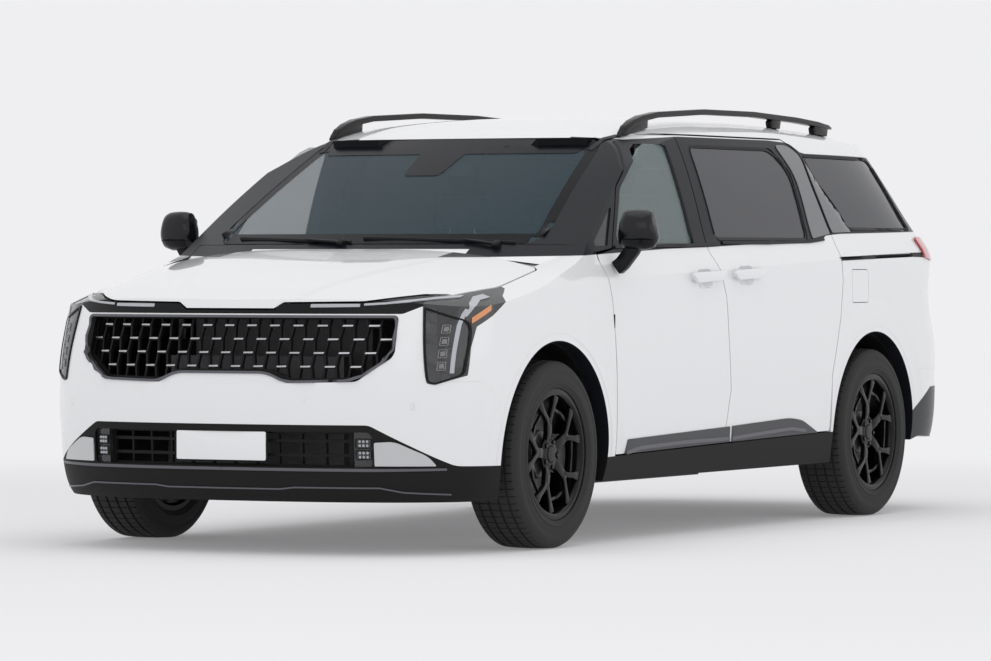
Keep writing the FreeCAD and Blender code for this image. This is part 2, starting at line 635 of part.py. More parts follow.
# Rear of the side and rear bumper
rear_split = [(-1870, 100), (-1870, 540), (-1905, 640), (-FAR, 640), (-FAR, 100)]
rear_underside = side_prism([(-1860, 0), (-1860, 318), (-1985, 340, 60), (-FAR, 290), (-FAR, 0)], -1200, 1200)
rear_bumper = largest(shell.common(side_prism(rear_split, -1200, 1200)).cut([gate_grown, rear_underside]))
quarter_zone = block(-FAR, -980 - SEAT, 0, 1200, 200, 2000)
quarter = side.common(quarter_zone).cut([door_opening, gate_grown, sill_band,
                                         block(-2100, 800, -FAR, TOP_SEAM + SEAT, 1500, 2000).cut(behind_roof),
                                         side_prism(rear_split, -1200, 1200, SEAT)])
rail_slot = side_prism([(-1083, 1147), (-1899, 1163), (-1906, 1147), (-1099, 1131)], 946, 1200)
quarter = largest(quarter.cut(rail_slot))
rocker = largest(side.common(sill_band).cut(block(-FAR, FAR, 0, 1200, 0, ROCKER_LOW)))

# Glass: panes in the openings, one seat gap clear of their frames
band_out = stack(UPPER_LEVELS, size("glass_inset"))
band_in = stack(UPPER_LEVELS, size("glass_inset") + size("glass_wall"))


def side_pane(outline):
    return largest(band_out.common(side_prism(outline, 550, 1100, -SEAT)).cut(band_in))


corner_window = [(1078, 1190, 12), (1212, 1190, 12), (975, 1345, 12), (962, 1345, 10)]
door_glass = side_pane(front_window)
slide_glass = side_pane(slide_window)
quarter_glass = side_pane(quarter_window)
corner_glass = side_pane(corner_window)


def handle_cup(x0, x1, z):
    """The dished room behind a door handle."""
    deep = HALF_WIDTH + 27
    cup = rod(Vector(x0, deep, z), Vector(x1, deep, z), CUP_RADIUS)
    return cup.fuse([Part.makeSphere(CUP_RADIUS, Vector(x, deep, z)) for x in (x0, x1)])


CUP_RADIUS = 60.0
front_door = front_door.cut([side_prism(front_window, 690, 1100), handle_cup(252, 322, 1060)])
slide_door = slide_door.cut([side_prism(slide_window, 690, 1100), handle_cup(-150, -80, 1072)])
quarter = quarter.cut(side_prism(quarter_window, 550, 1100))
side_frame = side_frame.cut(side_prism(corner_window, 690, 1100))
gate_pane_zone = front_prism(gate_window, -FAR, -2000, -SEAT)
gate_glass = largest(band_out.common(gate_pane_zone).cut(band_in))
gate = gate.cut(front_prism(gate_window, -FAR, -2000))
windscreen = (screen_block(size("glass_inset")).common(front_prism(windscreen_outline, 380, 1700, -SEAT))
              .cut(screen_block(size("glass_inset") + size("glass_wall"))))
windscreen = largest(windscreen.common(roof_block(8)))

# Fuel flap: a plate in a shallow pocket of the left quarter panel
fx, fy = FLAP_HINGE
flap_outline = [(fx + 8, 948, 6), (fx + 8, 1090, 6), (fx - 165, 1090, 18), (fx - 165, 948, 18)]
flap_room = side_prism(flap_outline, fy - 40, 1100, 3)
flap = largest(quarter.common(side_prism(flap_outline, fy + 2, 1100)))
quarter_left = quarter.cut(flap_room)
flap_pin = upright(fx, fy + 6, 946, 1092, 3)
flap = flap.fuse(flap_pin)
quarter_left = quarter_left.cut(upright(fx, fy + 6, 945 - 3, 1092 + 4, 3.3))

keep("hood", hood)
keep("tailgate", gate)
keep("tailgate_glass", gate_glass)
keep_pair("front_door", front_door)
keep_pair("front_door_glass", door_glass)
keep("sliding_doors", both(slide_door))
keep("sliding_door_glass", both(slide_glass))
keep("fenders", both(fender))
keep("side_frames", both(side_frame))
keep("quarter_glass", together(both(quarter_glass), both(corner_glass)))
keep("fuel_flap", flap)
keep("roof_panel", together(roof_panel))
keep("windscreen", windscreen)
keep("cowl", cowl)
keep("bulkhead", bulkhead)
keep("front_bumper", front_bumper)
keep("rear_bumper", rear_bumper)
keep("head_lamps", both(head_lamp))
keep("rockers", both(rocker))

keep("bumper_lower", bumper_lower)
keep("light_bar", light_bar)

# Grille: six-sided cells in staggered columns, cut through a plate that follows the bumper's form
CELL_PITCH = 99.0
CELL_ROWS = 52.0
CELL_EDGE = 43.0
RIB = 7.0
GRILLE_TOP_ROW = 880.0


def front_face(points, x, grow=0.0):
    """A flat face at one x from points (y, z) or (y, z, radius)."""
    wire = rounded_wire([(Vector(x, p[0], p[1]), p[2] if len(p) > 2 else 0) for p in points])
    return Part.Face(wire.makeOffset2D(grow) if grow else wire)


def cell(y, z):
    """One cell, wide at mid height, with its level edges at the rows above and below."""
    waist = (CELL_PITCH - CELL_EDGE) / 2 - RIB / 2
    edge = CELL_EDGE / 2 - RIB / 2
    tall = CELL_ROWS - RIB
    return front_face([(y - edge, z + tall), (y - waist, z), (y - edge, z - tall),
                       (y + edge, z - tall), (y + waist, z), (y + edge, z + tall)], 2300)


cells = []
for column in range(-14, 15):
    start = GRILLE_TOP_ROW - CELL_ROWS * (column % 2)
    cells += [cell(column * CELL_PITCH / 2, start - 2 * CELL_ROWS * step + CELL_ROWS) for step in range(4)]
lattice = front_face(grille_outline, 2300, -SEAT)
lattice = lattice.cut(Part.makeCompound(cells).common(front_face(grille_outline, 2300, -17)))
grille_slab = envelope(inset=32).common(block(2300, FAR, -720, 720, 640, 940)).cut(envelope(inset=48))
keep("grille", largest(grille_slab.common(lattice.extrude(Vector(400, 0, 0)))))

# Lower opening: bars between the lamps, with a bracket that carries the number plate
bars = [[(y, z0), (y + 88, z0), (y + 88, z1), (y, z1)] for y in range(-532, 480, 96) for z0, z1 in
        ((349, 379), (391, 434), (446, 468))]
bar_face = front_face(both_sides([(548, 341 + SEAT), (548, 475 - SEAT)]), 2300)
bar_face = bar_face.cut(Part.makeCompound([front_face(one, 2300) for one in bars]))
bar_slab = envelope(inset=34).common(block(2300, FAR, -600, 600, 330, 480)).cut(envelope(inset=50))
PLATE_BACK = 2561.0
PLATE_HALF = 199.0
bracket = block(2500, PLATE_BACK - SEAT, -170, 170, 380, 458).cut(envelope(inset=50).common(block(2400, FAR, -300, 300, 300, 500)))
keep("lower_grille", largest(bar_slab.common(bar_face.extrude(Vector(400, 0, 0))).fuse(bracket)))
box_piece("number_plate", (PLATE_BACK, -PLATE_HALF, 363), (PLATE_BACK + 5, PLATE_HALF, 475))
fog_zone = front_prism([(548, 341), (619, 341, 15), (622, 475, 25), (548, 475)], 2300, FAR, -SEAT)
fog_lamp = envelope(inset=12).common(fog_zone).cut(envelope(inset=46))
keep("fog_lamps", both(largest(fog_lamp)))

# Floor
floor_plate = block(-2380, FIREWALL_X - 5 - SEAT, -FAR, FAR, FLOOR - 30, FLOOR).common(
    stack(LOWER_LEVELS, size("door_wall") + SEAT))
floor_plate = floor_plate.cut([arch(FRONT_AXLE, ARCH + SEAT, FRONT_WELL - SEAT), arch(REAR_AXLE, ARCH + SEAT, REAR_WELL - SEAT)])
keep("floor_pan", largest(floor_plate))


def liner(axle, inner):
    """A wheel arch's lining: a part tube inside the arch, open at the bottom."""
    tube = Part.makeCylinder(ARCH - SEAT, 930 - inner, Vector(axle, inner + SEAT, AXLE_Z), Vector(0, 1, 0))
    tube = tube.cut(Part.makeCylinder(ARCH - 6, 2000, Vector(axle, 0, AXLE_Z), Vector(0, 1, 0)))
    return tube.cut(block(-FAR, FAR, 0, 1200, -FAR, FLOOR - 30))


front_liner = liner(FRONT_AXLE, FRONT_WELL)
rear_liner = liner(REAR_AXLE, REAR_WELL)
keep("arch_liners", together(both(front_liner), both(rear_liner)))

# Pillars between the doors, behind their inner faces
pillar_zone = side_prism([(70, FLOOR + SEAT), (110, 1120), (150, 1180), (180, 1640), (70, 1640), (20, 1180), (-40, FLOOR + SEAT)],
                         500, 1200)
pillar = pillar_zone.common(envelope(thick=lambda share: lower_thick(share) + 8)).common(roof_block(size("roof_wall") + 0.8))
pillar = largest(pillar.cut(envelope(thick=lambda share: lower_thick(share) + 46)))
keep("b_pillars", both(pillar))

# Wheels: local y is outboard from the wheel's middle plane
TYRE_R = size("tyre_radius")
TYRE_HALF = size("tyre_width") / 2
RIM_R = size("rim_radius")
RIM_HALF = size("rim_width") / 2
SPINDLE_R = size("spindle_radius")
BORE_R = SPINDLE_R + size("bearing_gap")
DISC_R = size("disc_radius")


def turned(points):
    """Revolve an outline of (radius, local y) or (radius, local y, corner radius) about the wheel's axis."""
    wire = rounded_wire([(Vector(p[0], p[1], 0), p[2] if len(p) > 2 else 0) for p in points])
    return Part.Face(wire).revolve(Vector(0, 0, 0), Vector(0, 1, 0), 360)


tyre = turned([
    (RIM_R + SEAT, -96, 4), (RIM_R + 18.3, -96), (RIM_R + 18.3, -108, 5), (RIM_R + 52, -TYRE_HALF, 40),
    (TYRE_R - 30, -TYRE_HALF + 3, 30),
    (TYRE_R - 5, -TYRE_HALF + 21, 20), (TYRE_R, 0, 900), (TYRE_R - 5, TYRE_HALF - 21, 20), (TYRE_R - 30, TYRE_HALF - 3, 30),
    (RIM_R + 52, TYRE_HALF, 40), (RIM_R + 18.3, 108, 5), (RIM_R + 18.3, 96), (RIM_R + SEAT, 96, 4),
])
SPOKE_ANGLE = -5.0


def polar(share, angle):
    """A point of the wheel's face, as shares of the rim's radius."""
    turn = math.radians(angle)
    return bound("rim_radius", share * math.cos(turn)), bound("rim_radius", share * math.sin(turn))


# The rim: one turned profile, then the windows of one forked spoke cut through and repeated five times
rim_body = doc.addObject("PartDesign::Body", "rim")
rim_body.Label = "rim"
bore = (BORE_R, "sizes.spindle_radius + sizes.bearing_gap")
flange = bound("rim_radius", 1, 18)
lip = bound("rim_radius", 1, -3)
well = bound("rim_radius", 1, -13)
bed = bound("rim_radius")
disc = bound("disc_radius")
rim_profile = outline_sketch(rim_body, "rim_profile", 3, [[
    (bore, -4), (disc, -4), (disc, 18), (92, 18), (92, 54), (well, 70),
    (well, bound("rim_width", -0.5, 6)), (lip, bound("rim_width", -0.5, -3)), (flange, bound("rim_width", -0.5, -3)),
    (flange, -96.3), (bed, -96.3), (bed, 96.3), (flange, 96.3),
    (flange, bound("rim_width", 0.5, 3)), (lip, bound("rim_width", 0.5, 3)), (well, bound("rim_width", 0.5, -6)),
    (150, 93), (84, 80), (76, 86), (0, 86), (0, 62), (bore, 62),
]])
rim_turn = rim_body.newObject("PartDesign::Revolution", "rim_turn")
rim_turn.Profile = rim_profile
rim_turn.ReferenceAxis = (rim_profile, ["V_Axis"])
rim_turn.Angle = 360
spoke_windows = outline_sketch(rim_body, "spoke_windows", 4, [
    [polar(0.62, 0), polar(0.93, -12.2), polar(0.93, 12.2)],
    [polar(0.93, 23.5), polar(0.93, 48.5), polar(0.785, 52.5), polar(0.785, 19.5)],
    [polar(0.30, 19), polar(0.55, 8.4), polar(0.70, 16), polar(0.70, 56), polar(0.55, 63.6), polar(0.30, 53)],
])
window_cut = rim_body.newObject("PartDesign::Pocket", "window_cut")
window_cut.Profile = spoke_windows
window_cut.Type = "Length"
window_cut.Length = 200
spoke_turns = rim_body.newObject("PartDesign::PolarPattern", "spoke_turns")
spoke_turns.Originals = [window_cut]
spoke_turns.Axis = (rim_body.Origin.OriginFeatures[1], [""])
spoke_turns.Angle = 360
spoke_turns.Occurrences = 5
rim_body.Tip = spoke_turns
doc.recompute()
rim = rim_body.Shape.Solids[0].copy()
rim.rotate(Vector(0, 0, 0), Vector(0, 1, 0), SPOKE_ANGLE)


def at_wheel(shape, axle, right=False):
    placed = shape.copy()
    placed.translate(Vector(axle, WHEEL_Y, AXLE_Z))
    return flipped(placed) if right else placed


for place, axle, right in (("front_left", FRONT_AXLE, False), ("front_right", FRONT_AXLE, True),
                           ("rear_left", REAR_AXLE, False), ("rear_right", REAR_AXLE, True)):
    keep("tyre_" + place, at_wheel(tyre, axle, right))
    keep("rim_" + place, at_wheel(rim, axle, right))

# Knuckle: turns about an upright pin just inboard of the brake disc
KING_Y = -39.0
spindle = Part.makeCylinder(SPINDLE_R, 110, Vector(0, -50, 0), Vector(0, 1, 0))
carrier = Part.makeBox(84, 56, 200, Vector(-42, -70, -100)).fuse(spindle)
king_pin = Part.makeCylinder(10, 272, Vector(0, KING_Y, -136))
caliper = turned([(112, -22), (206, -22), (206, 42), (168, 42), (168, -12), (112, -12)]).fuse(
    turned([(116, 28), (172, 28), (172, 42), (116, 42)]))
caliper = caliper.common(Part.makeBox(240, 200, 150, Vector(-235, -100, -75)))
bridge = Part.makeBox(100, 10, 90, Vector(-130, -32, -45))
knuckle = carrier.fuse([king_pin, caliper, bridge])
keep("knuckle_left", at_wheel(knuckle, FRONT_AXLE))
keep("knuckle_right", at_wheel(knuckle, FRONT_AXLE, True))

ARM_LOW = -134.0
ARM_TALL = 26.0
# Front suspension, fixed: two arms that hold the king pin, and a strut
eye_bore = Part.makeCylinder(10 + size("bearing_gap"), 400, Vector(0, KING_Y, -200))
arms = []
for low in (ARM_LOW, 104):
    arm = Part.makeBox(50, 210, ARM_TALL, Vector(-25, -39 - 210, low)).fuse(Part.makeCylinder(25, ARM_TALL, Vector(0, KING_Y, low)))
    arms.append(arm.cut(eye_bore))
lower_arm = arms[0].fuse([Part.makeBox(320, 60, ARM_TALL, Vector(-160, -330, ARM_LOW)),
                          Part.makeBox(90, 330, ARM_TALL, Vector(-45, -480, ARM_LOW))])
strut = Part.makeBox(50, 50, 40, Vector(-25, -39 - 210, 104)).fuse([
    Part.makeCylinder(24, 330, Vector(0, -225, 110)), Part.makeCylinder(56, 170, Vector(0, -225, 255)),
    Part.makeCylinder(70, 12, Vector(0, -225, ARCH - 24)), arms[1]])
strut = strut.common(Part.makeCylinder(ARCH - 6 - SEAT, 1000, Vector(0, -600, 0), Vector(0, 1, 0)))
keep("front_suspension", together(both(at_wheel(lower_arm, FRONT_AXLE)), both(at_wheel(strut, FRONT_AXLE))))

# Rear axle, fixed: spindles on a beam under the floor
rear_spindle = Part.makeCylinder(SPINDLE_R, 225, Vector(0, -165, 0), Vector(0, 1, 0))
backing = Part.makeCylinder(120, 24, Vector(0, -80, 0), Vector(0, 1, 0))
hanger = Part.makeBox(100, 34, 180, Vector(-50, -170, -135))
trail = Part.makeBox(470, 60, 56, Vector(-50, -230, -135)).fuse(Part.makeBox(100, 70, 56, Vector(-50, -230, -135)))
rear_side = at_wheel(rear_spindle.fuse([backing, hanger, trail]), REAR_AXLE)
beam = block(REAR_AXLE + 60, REAR_AXLE + 150, -650, 650, AXLE_Z - 135, AXLE_Z - 79)
pad = block(REAR_AXLE + 340, REAR_AXLE + 410, 650, 700, AXLE_Z - 80, FLOOR - 30 - SEAT)
keep("rear_axle", rear_side.fuse([flipped(rear_side), beam, pad, flipped(pad)]))

# Tail lamps, let into the rear corners
tail_zone = side_prism([(-2190, 1236, 10), (-2290, 1150, 30), (-2330, 1096, 10), (-FAR, 1080), (-FAR, 1240)], 600, 1100)
tail_lamp = largest(quarter_left.common(tail_zone))
tail_grown = side_prism([(-2190, 1236, 10), (-2290, 1150, 30), (-2330, 1096, 10), (-FAR, 1080), (-FAR, 1240)], 590, 1110, SEAT)
keep("quarter_panels", together(quarter_left.cut(tail_grown), flipped(quarter.cut(tail_grown))))
keep("tail_lamps", both(tail_lamp))

# Mirrors, carried by the front doors
mirror_cuts = [(1002, 1050, 1138, 1196, 1318, 34), (1020, 1042, 1150, 1182, 1330, 40), (1070, 1042, 1153, 1175, 1337, 46),
               (1115, 1050, 1143, 1180, 1332, 42), (1147, 1068, 1122, 1204, 1308, 24)]
mirror_wires = [rounded_wire([(Vector(x0, y, z0), r), (Vector(x1, y, z0), r), (Vector(x1, y, z1), r), (Vector(x0, y, z1), r)])
                for y, x0, x1, z0, z1, r in mirror_cuts]
housing = Part.makeLoft(mirror_wires, True, False)
stalk = front_prism([(930, 1100), (985, 1108, 20), (1065, 1190, 20), (1015, 1196), (980, 1160, 15), (930, 1150)], 1056, 1124)
door_skin = envelope(inset=-SEAT)
mirror = housing.fuse(stalk.cut(door_skin))
keep_pair("mirror", largest(mirror))

# Roof rails
RAIL_TOP = size("rail_height")
rail_outer = [(520, 1690), (455, RAIL_TOP - 28, 60), (120, RAIL_TOP, 900), (-700, RAIL_TOP - 2, 900), (-1640, RAIL_TOP - 26, 60), (-1715, 1680)]
rail_hole = [(390, 1640), (380, RAIL_TOP - 58, 30), (120, RAIL_TOP - 27, 600), (-972, RAIL_TOP - 30, 30), (-992, 1640)]
rail_hole_2 = [(-1070, 1640), (-1086, RAIL_TOP - 33, 30), (-1540, RAIL_TOP - 50, 30), (-1570, 1640)]
rail = side_prism(rail_outer, 652, 682).cut([side_prism(rail_hole, 600, 700), side_prism(rail_hole_2, 600, 700), roof_block(-SEAT)])
keep("roof_rails", both(rail))

# Engine bay
rail_rear = FIREWALL_X + 45 + SEAT
subframe_low = bound("tyre_radius", 1, ARM_LOW + ARM_TALL + SEAT)
rail_beams = []
for number, (x0, x1, y0, y1, top) in enumerate((
        (rail_rear, 2240, 380, 460, 329.7), (rail_rear, 2240, -460, -380, 329.7),
        (1150, rail_rear, 380, 460, FLOOR - 30 - SEAT), (1150, rail_rear, -460, -380, FLOOR - 30 - SEAT),
        (1400, 1480, -380, 380, 329.7), (2160, 2240, -380, 380, 329.7))):
    rail_beams.append(box_piece(f"subframe_beam_{number}", (x0, y0, subframe_low), (x1, y1, top), node=False))
fused_piece("subframe", rail_beams)
box_piece("engine", (1490, -400, 330), (2080, 400, 930))
box_piece("radiator", (2240 + SEAT, -390, subframe_low), (2290, 390, 760))

# Under the floor
under_floor = bound("floor_top", 1, -30 - SEAT)
box_piece("fuel_tank", (-700, -480, 200), (500, 480, under_floor))
box_piece("muffler", (-2280, -460, 190), (-1980, -60, under_floor))

# Cabin
dash_outline = [(FIREWALL_X - 5 - SEAT, 560), (FIREWALL_X - 5 - SEAT, 1038), (1250, 1092, 40), (1000, 1088, 60),
                (880, 1040, 50), (850, 960, 40), (880, 760, 60), (960, 640, 60), (1100, 560, 40)]
dash = side_prism(dash_outline, -800, 800).cut(arch(FRONT_AXLE, ARCH + SEAT, FRONT_WELL - SEAT))
keep("dashboard", dash)
console = side_prism([(500, FLOOR + SEAT), (500, 640, 40), (860, 740, 60), (1000, 740), (1000, FLOOR + SEAT)], -120, 120)
keep("console", console.cut(side_prism(dash_outline, -800, 800, SEAT)))

WHEEL_R = size("wheel_rim_radius")
ring = Part.makeTorus(WHEEL_R - 16, 16).fuse([
    Part.makeCylinder(62, 40, Vector(0, 0, -34)), block(-WHEEL_R + 20, WHEEL_R - 20, -22, 22, -16, -2),
    block(-22, 22, -WHEEL_R + 20, 0, -16, -2), Part.makeCylinder(34, 420, Vector(0, 0, -430))])
ring.rotate(Vector(0, 0, 0), Vector(0, 0, 1), -90)
ring.rotate(Vector(0, 0, 0), Vector(0, 1, 0), -62)
ring.translate(Vector(640, 400, 1010))
keep("steering_wheel", largest(ring.cut(side_prism(dash_outline, -800, 800, SEAT))))

SEAT_HALF = size("seat_width") / 2


def seat_row(shift, spans):
    """Plinths, cushions, backs and head restraints of one row. spans are (y low, y high) of each seat."""
    plinths, cushions, backs, heads = [], [], [], []
    for y0, y1 in spans:
        middle = (y0 + y1) / 2
        plinths.append(block(shift + 40, shift + 420, y0 + 50, y1 - 50, FLOOR + SEAT, 480))
        cushions.append(side_prism([(shift - 40, 480 + SEAT), (shift + 430, 480 + SEAT, 60), (shift + 485, 520, 40),
                                    (shift + 490, 640, 50), (shift + 60, 615, 50), (shift - 40, 615)], y0, y1))
        backs.append(side_prism([(shift - 40 - SEAT, 500), (shift - 40 - SEAT, 600, 200), (shift - 190, 1240, 50),
                                 (shift - 310, 1240, 40), (shift - 165, 500, 30)], y0 + 10, y1 - 10))
        head = side_prism([(shift - 215, 1264, 20), (shift - 228, 1420, 30), (shift - 305, 1425, 30),
                           (shift - 315, 1264, 20)], middle - 130, middle + 130)
        posts = [rod(Vector(shift - 255, middle + side_y, 1240 + SEAT), Vector(shift - 258, middle + side_y, 1270), 6)
                 for side_y in (-60, 60)]
        heads.append(head.fuse(posts))
    return plinths, cushions, backs, heads


rows = {
    "front_row": seat_row(90, [(400 - SEAT_HALF, 400 + SEAT_HALF), (-400 - SEAT_HALF, -400 + SEAT_HALF)]),
    "middle_row": seat_row(-810, [(400 - SEAT_HALF, 400 + SEAT_HALF), (-400 - SEAT_HALF, -400 + SEAT_HALF)]),
    "rear_row": seat_row(-1640, [(-600, 600)]),
}
for number, name in enumerate(("seat_bases", "seat_cushions", "seat_backs", "head_restraints")):
    keep(name, together(*[one for row in rows.values() for one in row[number]]))

# Checks and export
doc.recompute()
os.makedirs("parts", exist_ok=True)
for made in doc.Objects:
    if "Invalid" in made.State or "Error" in made.State:
        raise RuntimeError(f"{made.Name} did not recompute: {made.State}")
for node in NODES:
    shape = node.Shape
    if shape.isNull() or not shape.isValid() or not shape.Solids:
        raise RuntimeError(f"{node.Name} has no valid solid")
    shape.exportStep(os.path.join("parts", node.Name + ".step"))
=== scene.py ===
"""The looks of a large passenger minivan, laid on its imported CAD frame.

Everything is in metres in the frame of the CAD: +X forward, +Y to the vehicle's left, +Z up.
"""

import math

import bmesh
import bpy
from bpy.props import FloatProperty, FloatVectorProperty, IntProperty, PointerProperty
from mathutils import Matrix, Vector
from mathutils.bvhtree import BVHTree


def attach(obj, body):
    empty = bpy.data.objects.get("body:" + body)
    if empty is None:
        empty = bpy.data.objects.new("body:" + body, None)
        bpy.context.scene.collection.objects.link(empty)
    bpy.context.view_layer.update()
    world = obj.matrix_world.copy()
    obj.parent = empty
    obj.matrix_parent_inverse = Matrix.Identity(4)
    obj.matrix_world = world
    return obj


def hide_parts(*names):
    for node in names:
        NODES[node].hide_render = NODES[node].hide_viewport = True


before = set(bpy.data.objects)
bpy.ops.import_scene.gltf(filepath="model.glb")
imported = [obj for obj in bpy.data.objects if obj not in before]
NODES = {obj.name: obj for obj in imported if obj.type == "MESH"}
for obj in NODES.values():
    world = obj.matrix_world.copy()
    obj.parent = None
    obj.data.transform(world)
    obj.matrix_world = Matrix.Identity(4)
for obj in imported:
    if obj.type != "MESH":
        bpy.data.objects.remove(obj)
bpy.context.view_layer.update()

bl_info = {
    "name": "Minivan looks",
    "version": (1, 0, 0),
    "blender": (4, 5, 0),
    "location": "3D View > Sidebar > Minivan",
    "description": "Paint, glass, trims, lamps, wheels and seats for a large passenger minivan",
    "category": "Object",
}

SIDES = (("left", 1.0), ("right", -1.0))
CORNERS = (("front_left", 1.0), ("front_right", -1.0), ("rear_left", 1.0), ("rear_right", -1.0))
DOORS = {"left": "door_left", "right": "door_right", "gate": "tailgate_lid"}
MATERIALS = {}

# The camera that was fitted to the photo, with the photo's width and the focal length in pixels
PHOTO_WIDTH = 991
FOCAL_PIXELS = 5349.67
SENSOR_WIDTH = 36.0
CAMERA_PLACE = (20.3342, 10.5313, 1.1362)
CAMERA_YAW, CAMERA_PITCH = 3.6253, 0.0133

# Where the floor starts to turn into backdrop, where it has done so, and the share it starts with
FLOOR_FADE = (3.6, 9.0, 0.22)

# The wheels' places and the radius at which the tyre meets the rim
AXLES = {"front": 1.6425, "rear": -1.4475}
HALF_TRACK = 0.874
WHEEL_HEIGHT = 0.3705
RIM_RADIUS = 0.2413

# Lines on the body in side view as (x, height), and the hood's fold from above as (x, half width)
BELT_LINE = [(-2.3, 1.262), (-2.02, 1.26), (-1.196, 1.248), (-1.04, 1.24), (-1.01, 1.229),
             (-0.82, 1.217), (0.171, 1.187), (0.567, 1.179), (1.24, 1.154), (1.5, 1.145)]
WINDOW_TOP = [(-2.3, 1.585), (-1.91, 1.596), (-1.1, 1.6), (-1.054, 1.605), (-0.985, 1.638), (-0.95, 1.645),
              (-0.766, 1.652), (0.152, 1.65), (0.497, 1.632), (0.56, 1.64), (0.7, 1.8), (1.5, 1.8)]
REAR_SKIRT = [(-2.6, 0.56), (-2.2, 0.56), (-2.117, 0.559), (-1.883, 0.456), (-1.8, 0.452)]
HOOD_FOLD = [(1.5, 0.56), (1.9, 0.49), (2.3, 0.36), (2.6, 0.24)]
WINDOWS_END = -2.14
COWL_FOOT = 1.54

# The wheel arches: the radius of the lip and of the dark inner face, and how far in from the side they reach
ARCH_LIP = 0.428
ARCH_INNER = 0.4465
ARCH_INSIDE = 0.8


# Shader sums

class Wire:
    """One socket of a node tree, which takes part in sums as a number does."""

    def __init__(self, socket):
        self.socket = socket
        self.tree = socket.id_data

    def node(self, kind, settings=(), inputs=(), out=0):
        """Adds any node: its settings come first, then the values or wires of its sockets."""
        made = self.tree.nodes.new("ShaderNode" + kind)
        for key, value in dict(settings).items():
            if key == "points":
                line = made.mapping.curves[0]
                line.points[0].location = value[0]
                line.points[1].location = value[-1]
                for place in value[1:-1]:
                    line.points.new(*place)
                for point in line.points:
                    point.handle_type = "VECTOR"
                made.mapping.update()
            else:
                setattr(made, key, value)
        for key, value in dict(inputs).items():
            if isinstance(value, Wire):
                self.tree.links.new(value.socket, made.inputs[key])
            else:
                made.inputs[key].default_value = value
        return Wire(made.outputs[out])

    def sum(self, operation, *others):
        """A Math node on this wire and the others."""
        return self.node("Math", {"operation": operation}, enumerate((self,) + others))

    def __add__(self, other):
        return self.sum("ADD", other)

    __radd__ = __add__

    def __mul__(self, other):
        return self.sum("MULTIPLY", other)

    __rmul__ = __mul__

    def __sub__(self, other):
        return self.sum("SUBTRACT", other)

    def __rsub__(self, other):
        return self.node("Math", {"operation": "SUBTRACT"}, {0: other, 1: self})

    def part(self, axis):
        """One number of a vector."""
        return self.node("SeparateXYZ", inputs={0: self}, out="XYZ".index(axis))

    def over(self, level, soft=0.002):
        """1 where this is more than the level, 0 where it is less, with a soft edge."""
        return self.node("MapRange", {"clamp": True}, {0: self - level, 1: -soft, 2: soft, 3: 0.0, 4: 1.0})

    def line(self, low, high, floor, top, points):
        """The height of a bent line over this number; the points are (number, height)."""
        share = self.node("MapRange", {"clamp": True}, {0: self, 1: low, 2: high, 3: 0.0, 4: 1.0})
        spots = [((a - low) / (high - low), (b - floor) / (top - floor)) for a, b in points]
        curve = share.node("FloatCurve", {"points": sorted(spots)}, {"Value": share})
        return curve * (top - floor) + floor

    def noise(self, scale, detail=2.0, rough=0.5):
        """Cloudy noise between 0 and 1."""
        return self.node("TexNoise", inputs={"Vector": self, "Scale": scale, "Detail": detail,
                         "Roughness": rough})

    def spread(self, low, high):
        """This share, taken to run from one number to another."""
        return self * (high - low) + low

    def mix(self, low, high):
        """A colour between two, by this share."""
        return self.node("Mix", {"data_type": "RGBA"}, {0: self, 6: low, 7: high}, out=2)

    def bump(self, strength, distance):
        """A bumped normal from this height."""
        return self.node("Bump", inputs={"Strength": strength, "Distance": distance, "Height": self})


def linear(red, green, blue):
    """A colour as it is read off a screen, from 0 to 255, in the renderer's own numbers."""
    def one(value):
        share = value / 255
        return share / 12.92 if share <= 0.04045 else ((share + 0.055) / 1.055) ** 2.4
    return (one(red), one(green), one(blue), 1.0)


def finish(name, colour, roughness, **constants):
    """A new material; gives back its shader, its place in the object and its normal."""
    material = bpy.data.materials.new(name)
    material.use_nodes = True
    MATERIALS[name] = material
    tree = material.node_tree
    shader = tree.nodes["Principled BSDF"]
    shader.inputs["Base Color"].default_value = colour
    shader.inputs["Roughness"].default_value = roughness
    for key, value in constants.items():
        shader.inputs[key.replace("_", " ").title().replace("Ior", "IOR")].default_value = value
    places = tree.nodes.new("ShaderNodeTexCoord")
    return shader, Wire(places.outputs["Object"]), Wire(places.outputs["Normal"])


def feed(shader, **wires):
    """Links wires to a shader's sockets."""
    for key, wire in wires.items():
        wire.tree.links.new(wire.socket, shader.inputs[key.replace("_", " ").title()])


def blend(share, first, second):
    """Gives a material a mix of two shaders, by a share that is a wire."""
    tree = share.tree
    both = tree.nodes.new("ShaderNodeMixShader")
    tree.links.new(share.socket, both.inputs[0])
    for place, shader in ((1, first), (2, second)):
        tree.links.new(shader.outputs[0], both.inputs[place])
    tree.links.new(both.outputs[0], tree.nodes["Material Output"].inputs[0])


# Meshes

def piece(name, bm, material, body="body", smooth=40.0, stands_for=()):
    """A finished mesh as an object at the origin that rides on a body."""
    mesh = bpy.data.meshes.new(name)
    bm.to_mesh(mesh)
    bm.free()
    made = bpy.data.objects.new(name, mesh)
    bpy.context.scene.collection.objects.link(made)
    mesh.materials.append(MATERIALS[material])
    if smooth:
        mesh.shade_smooth()
        mesh.set_sharp_from_angle(angle=math.radians(smooth))
    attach(made, body)
    if stands_for:
        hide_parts(*stands_for)
    return made


def paint_node(name, material):
    """Gives a CAD node one material in all its slots."""
    mesh = NODES[name].data
    if not mesh.materials:
        mesh.materials.append(None)
    for index in range(len(mesh.materials)):
        mesh.materials[index] = MATERIALS[material]


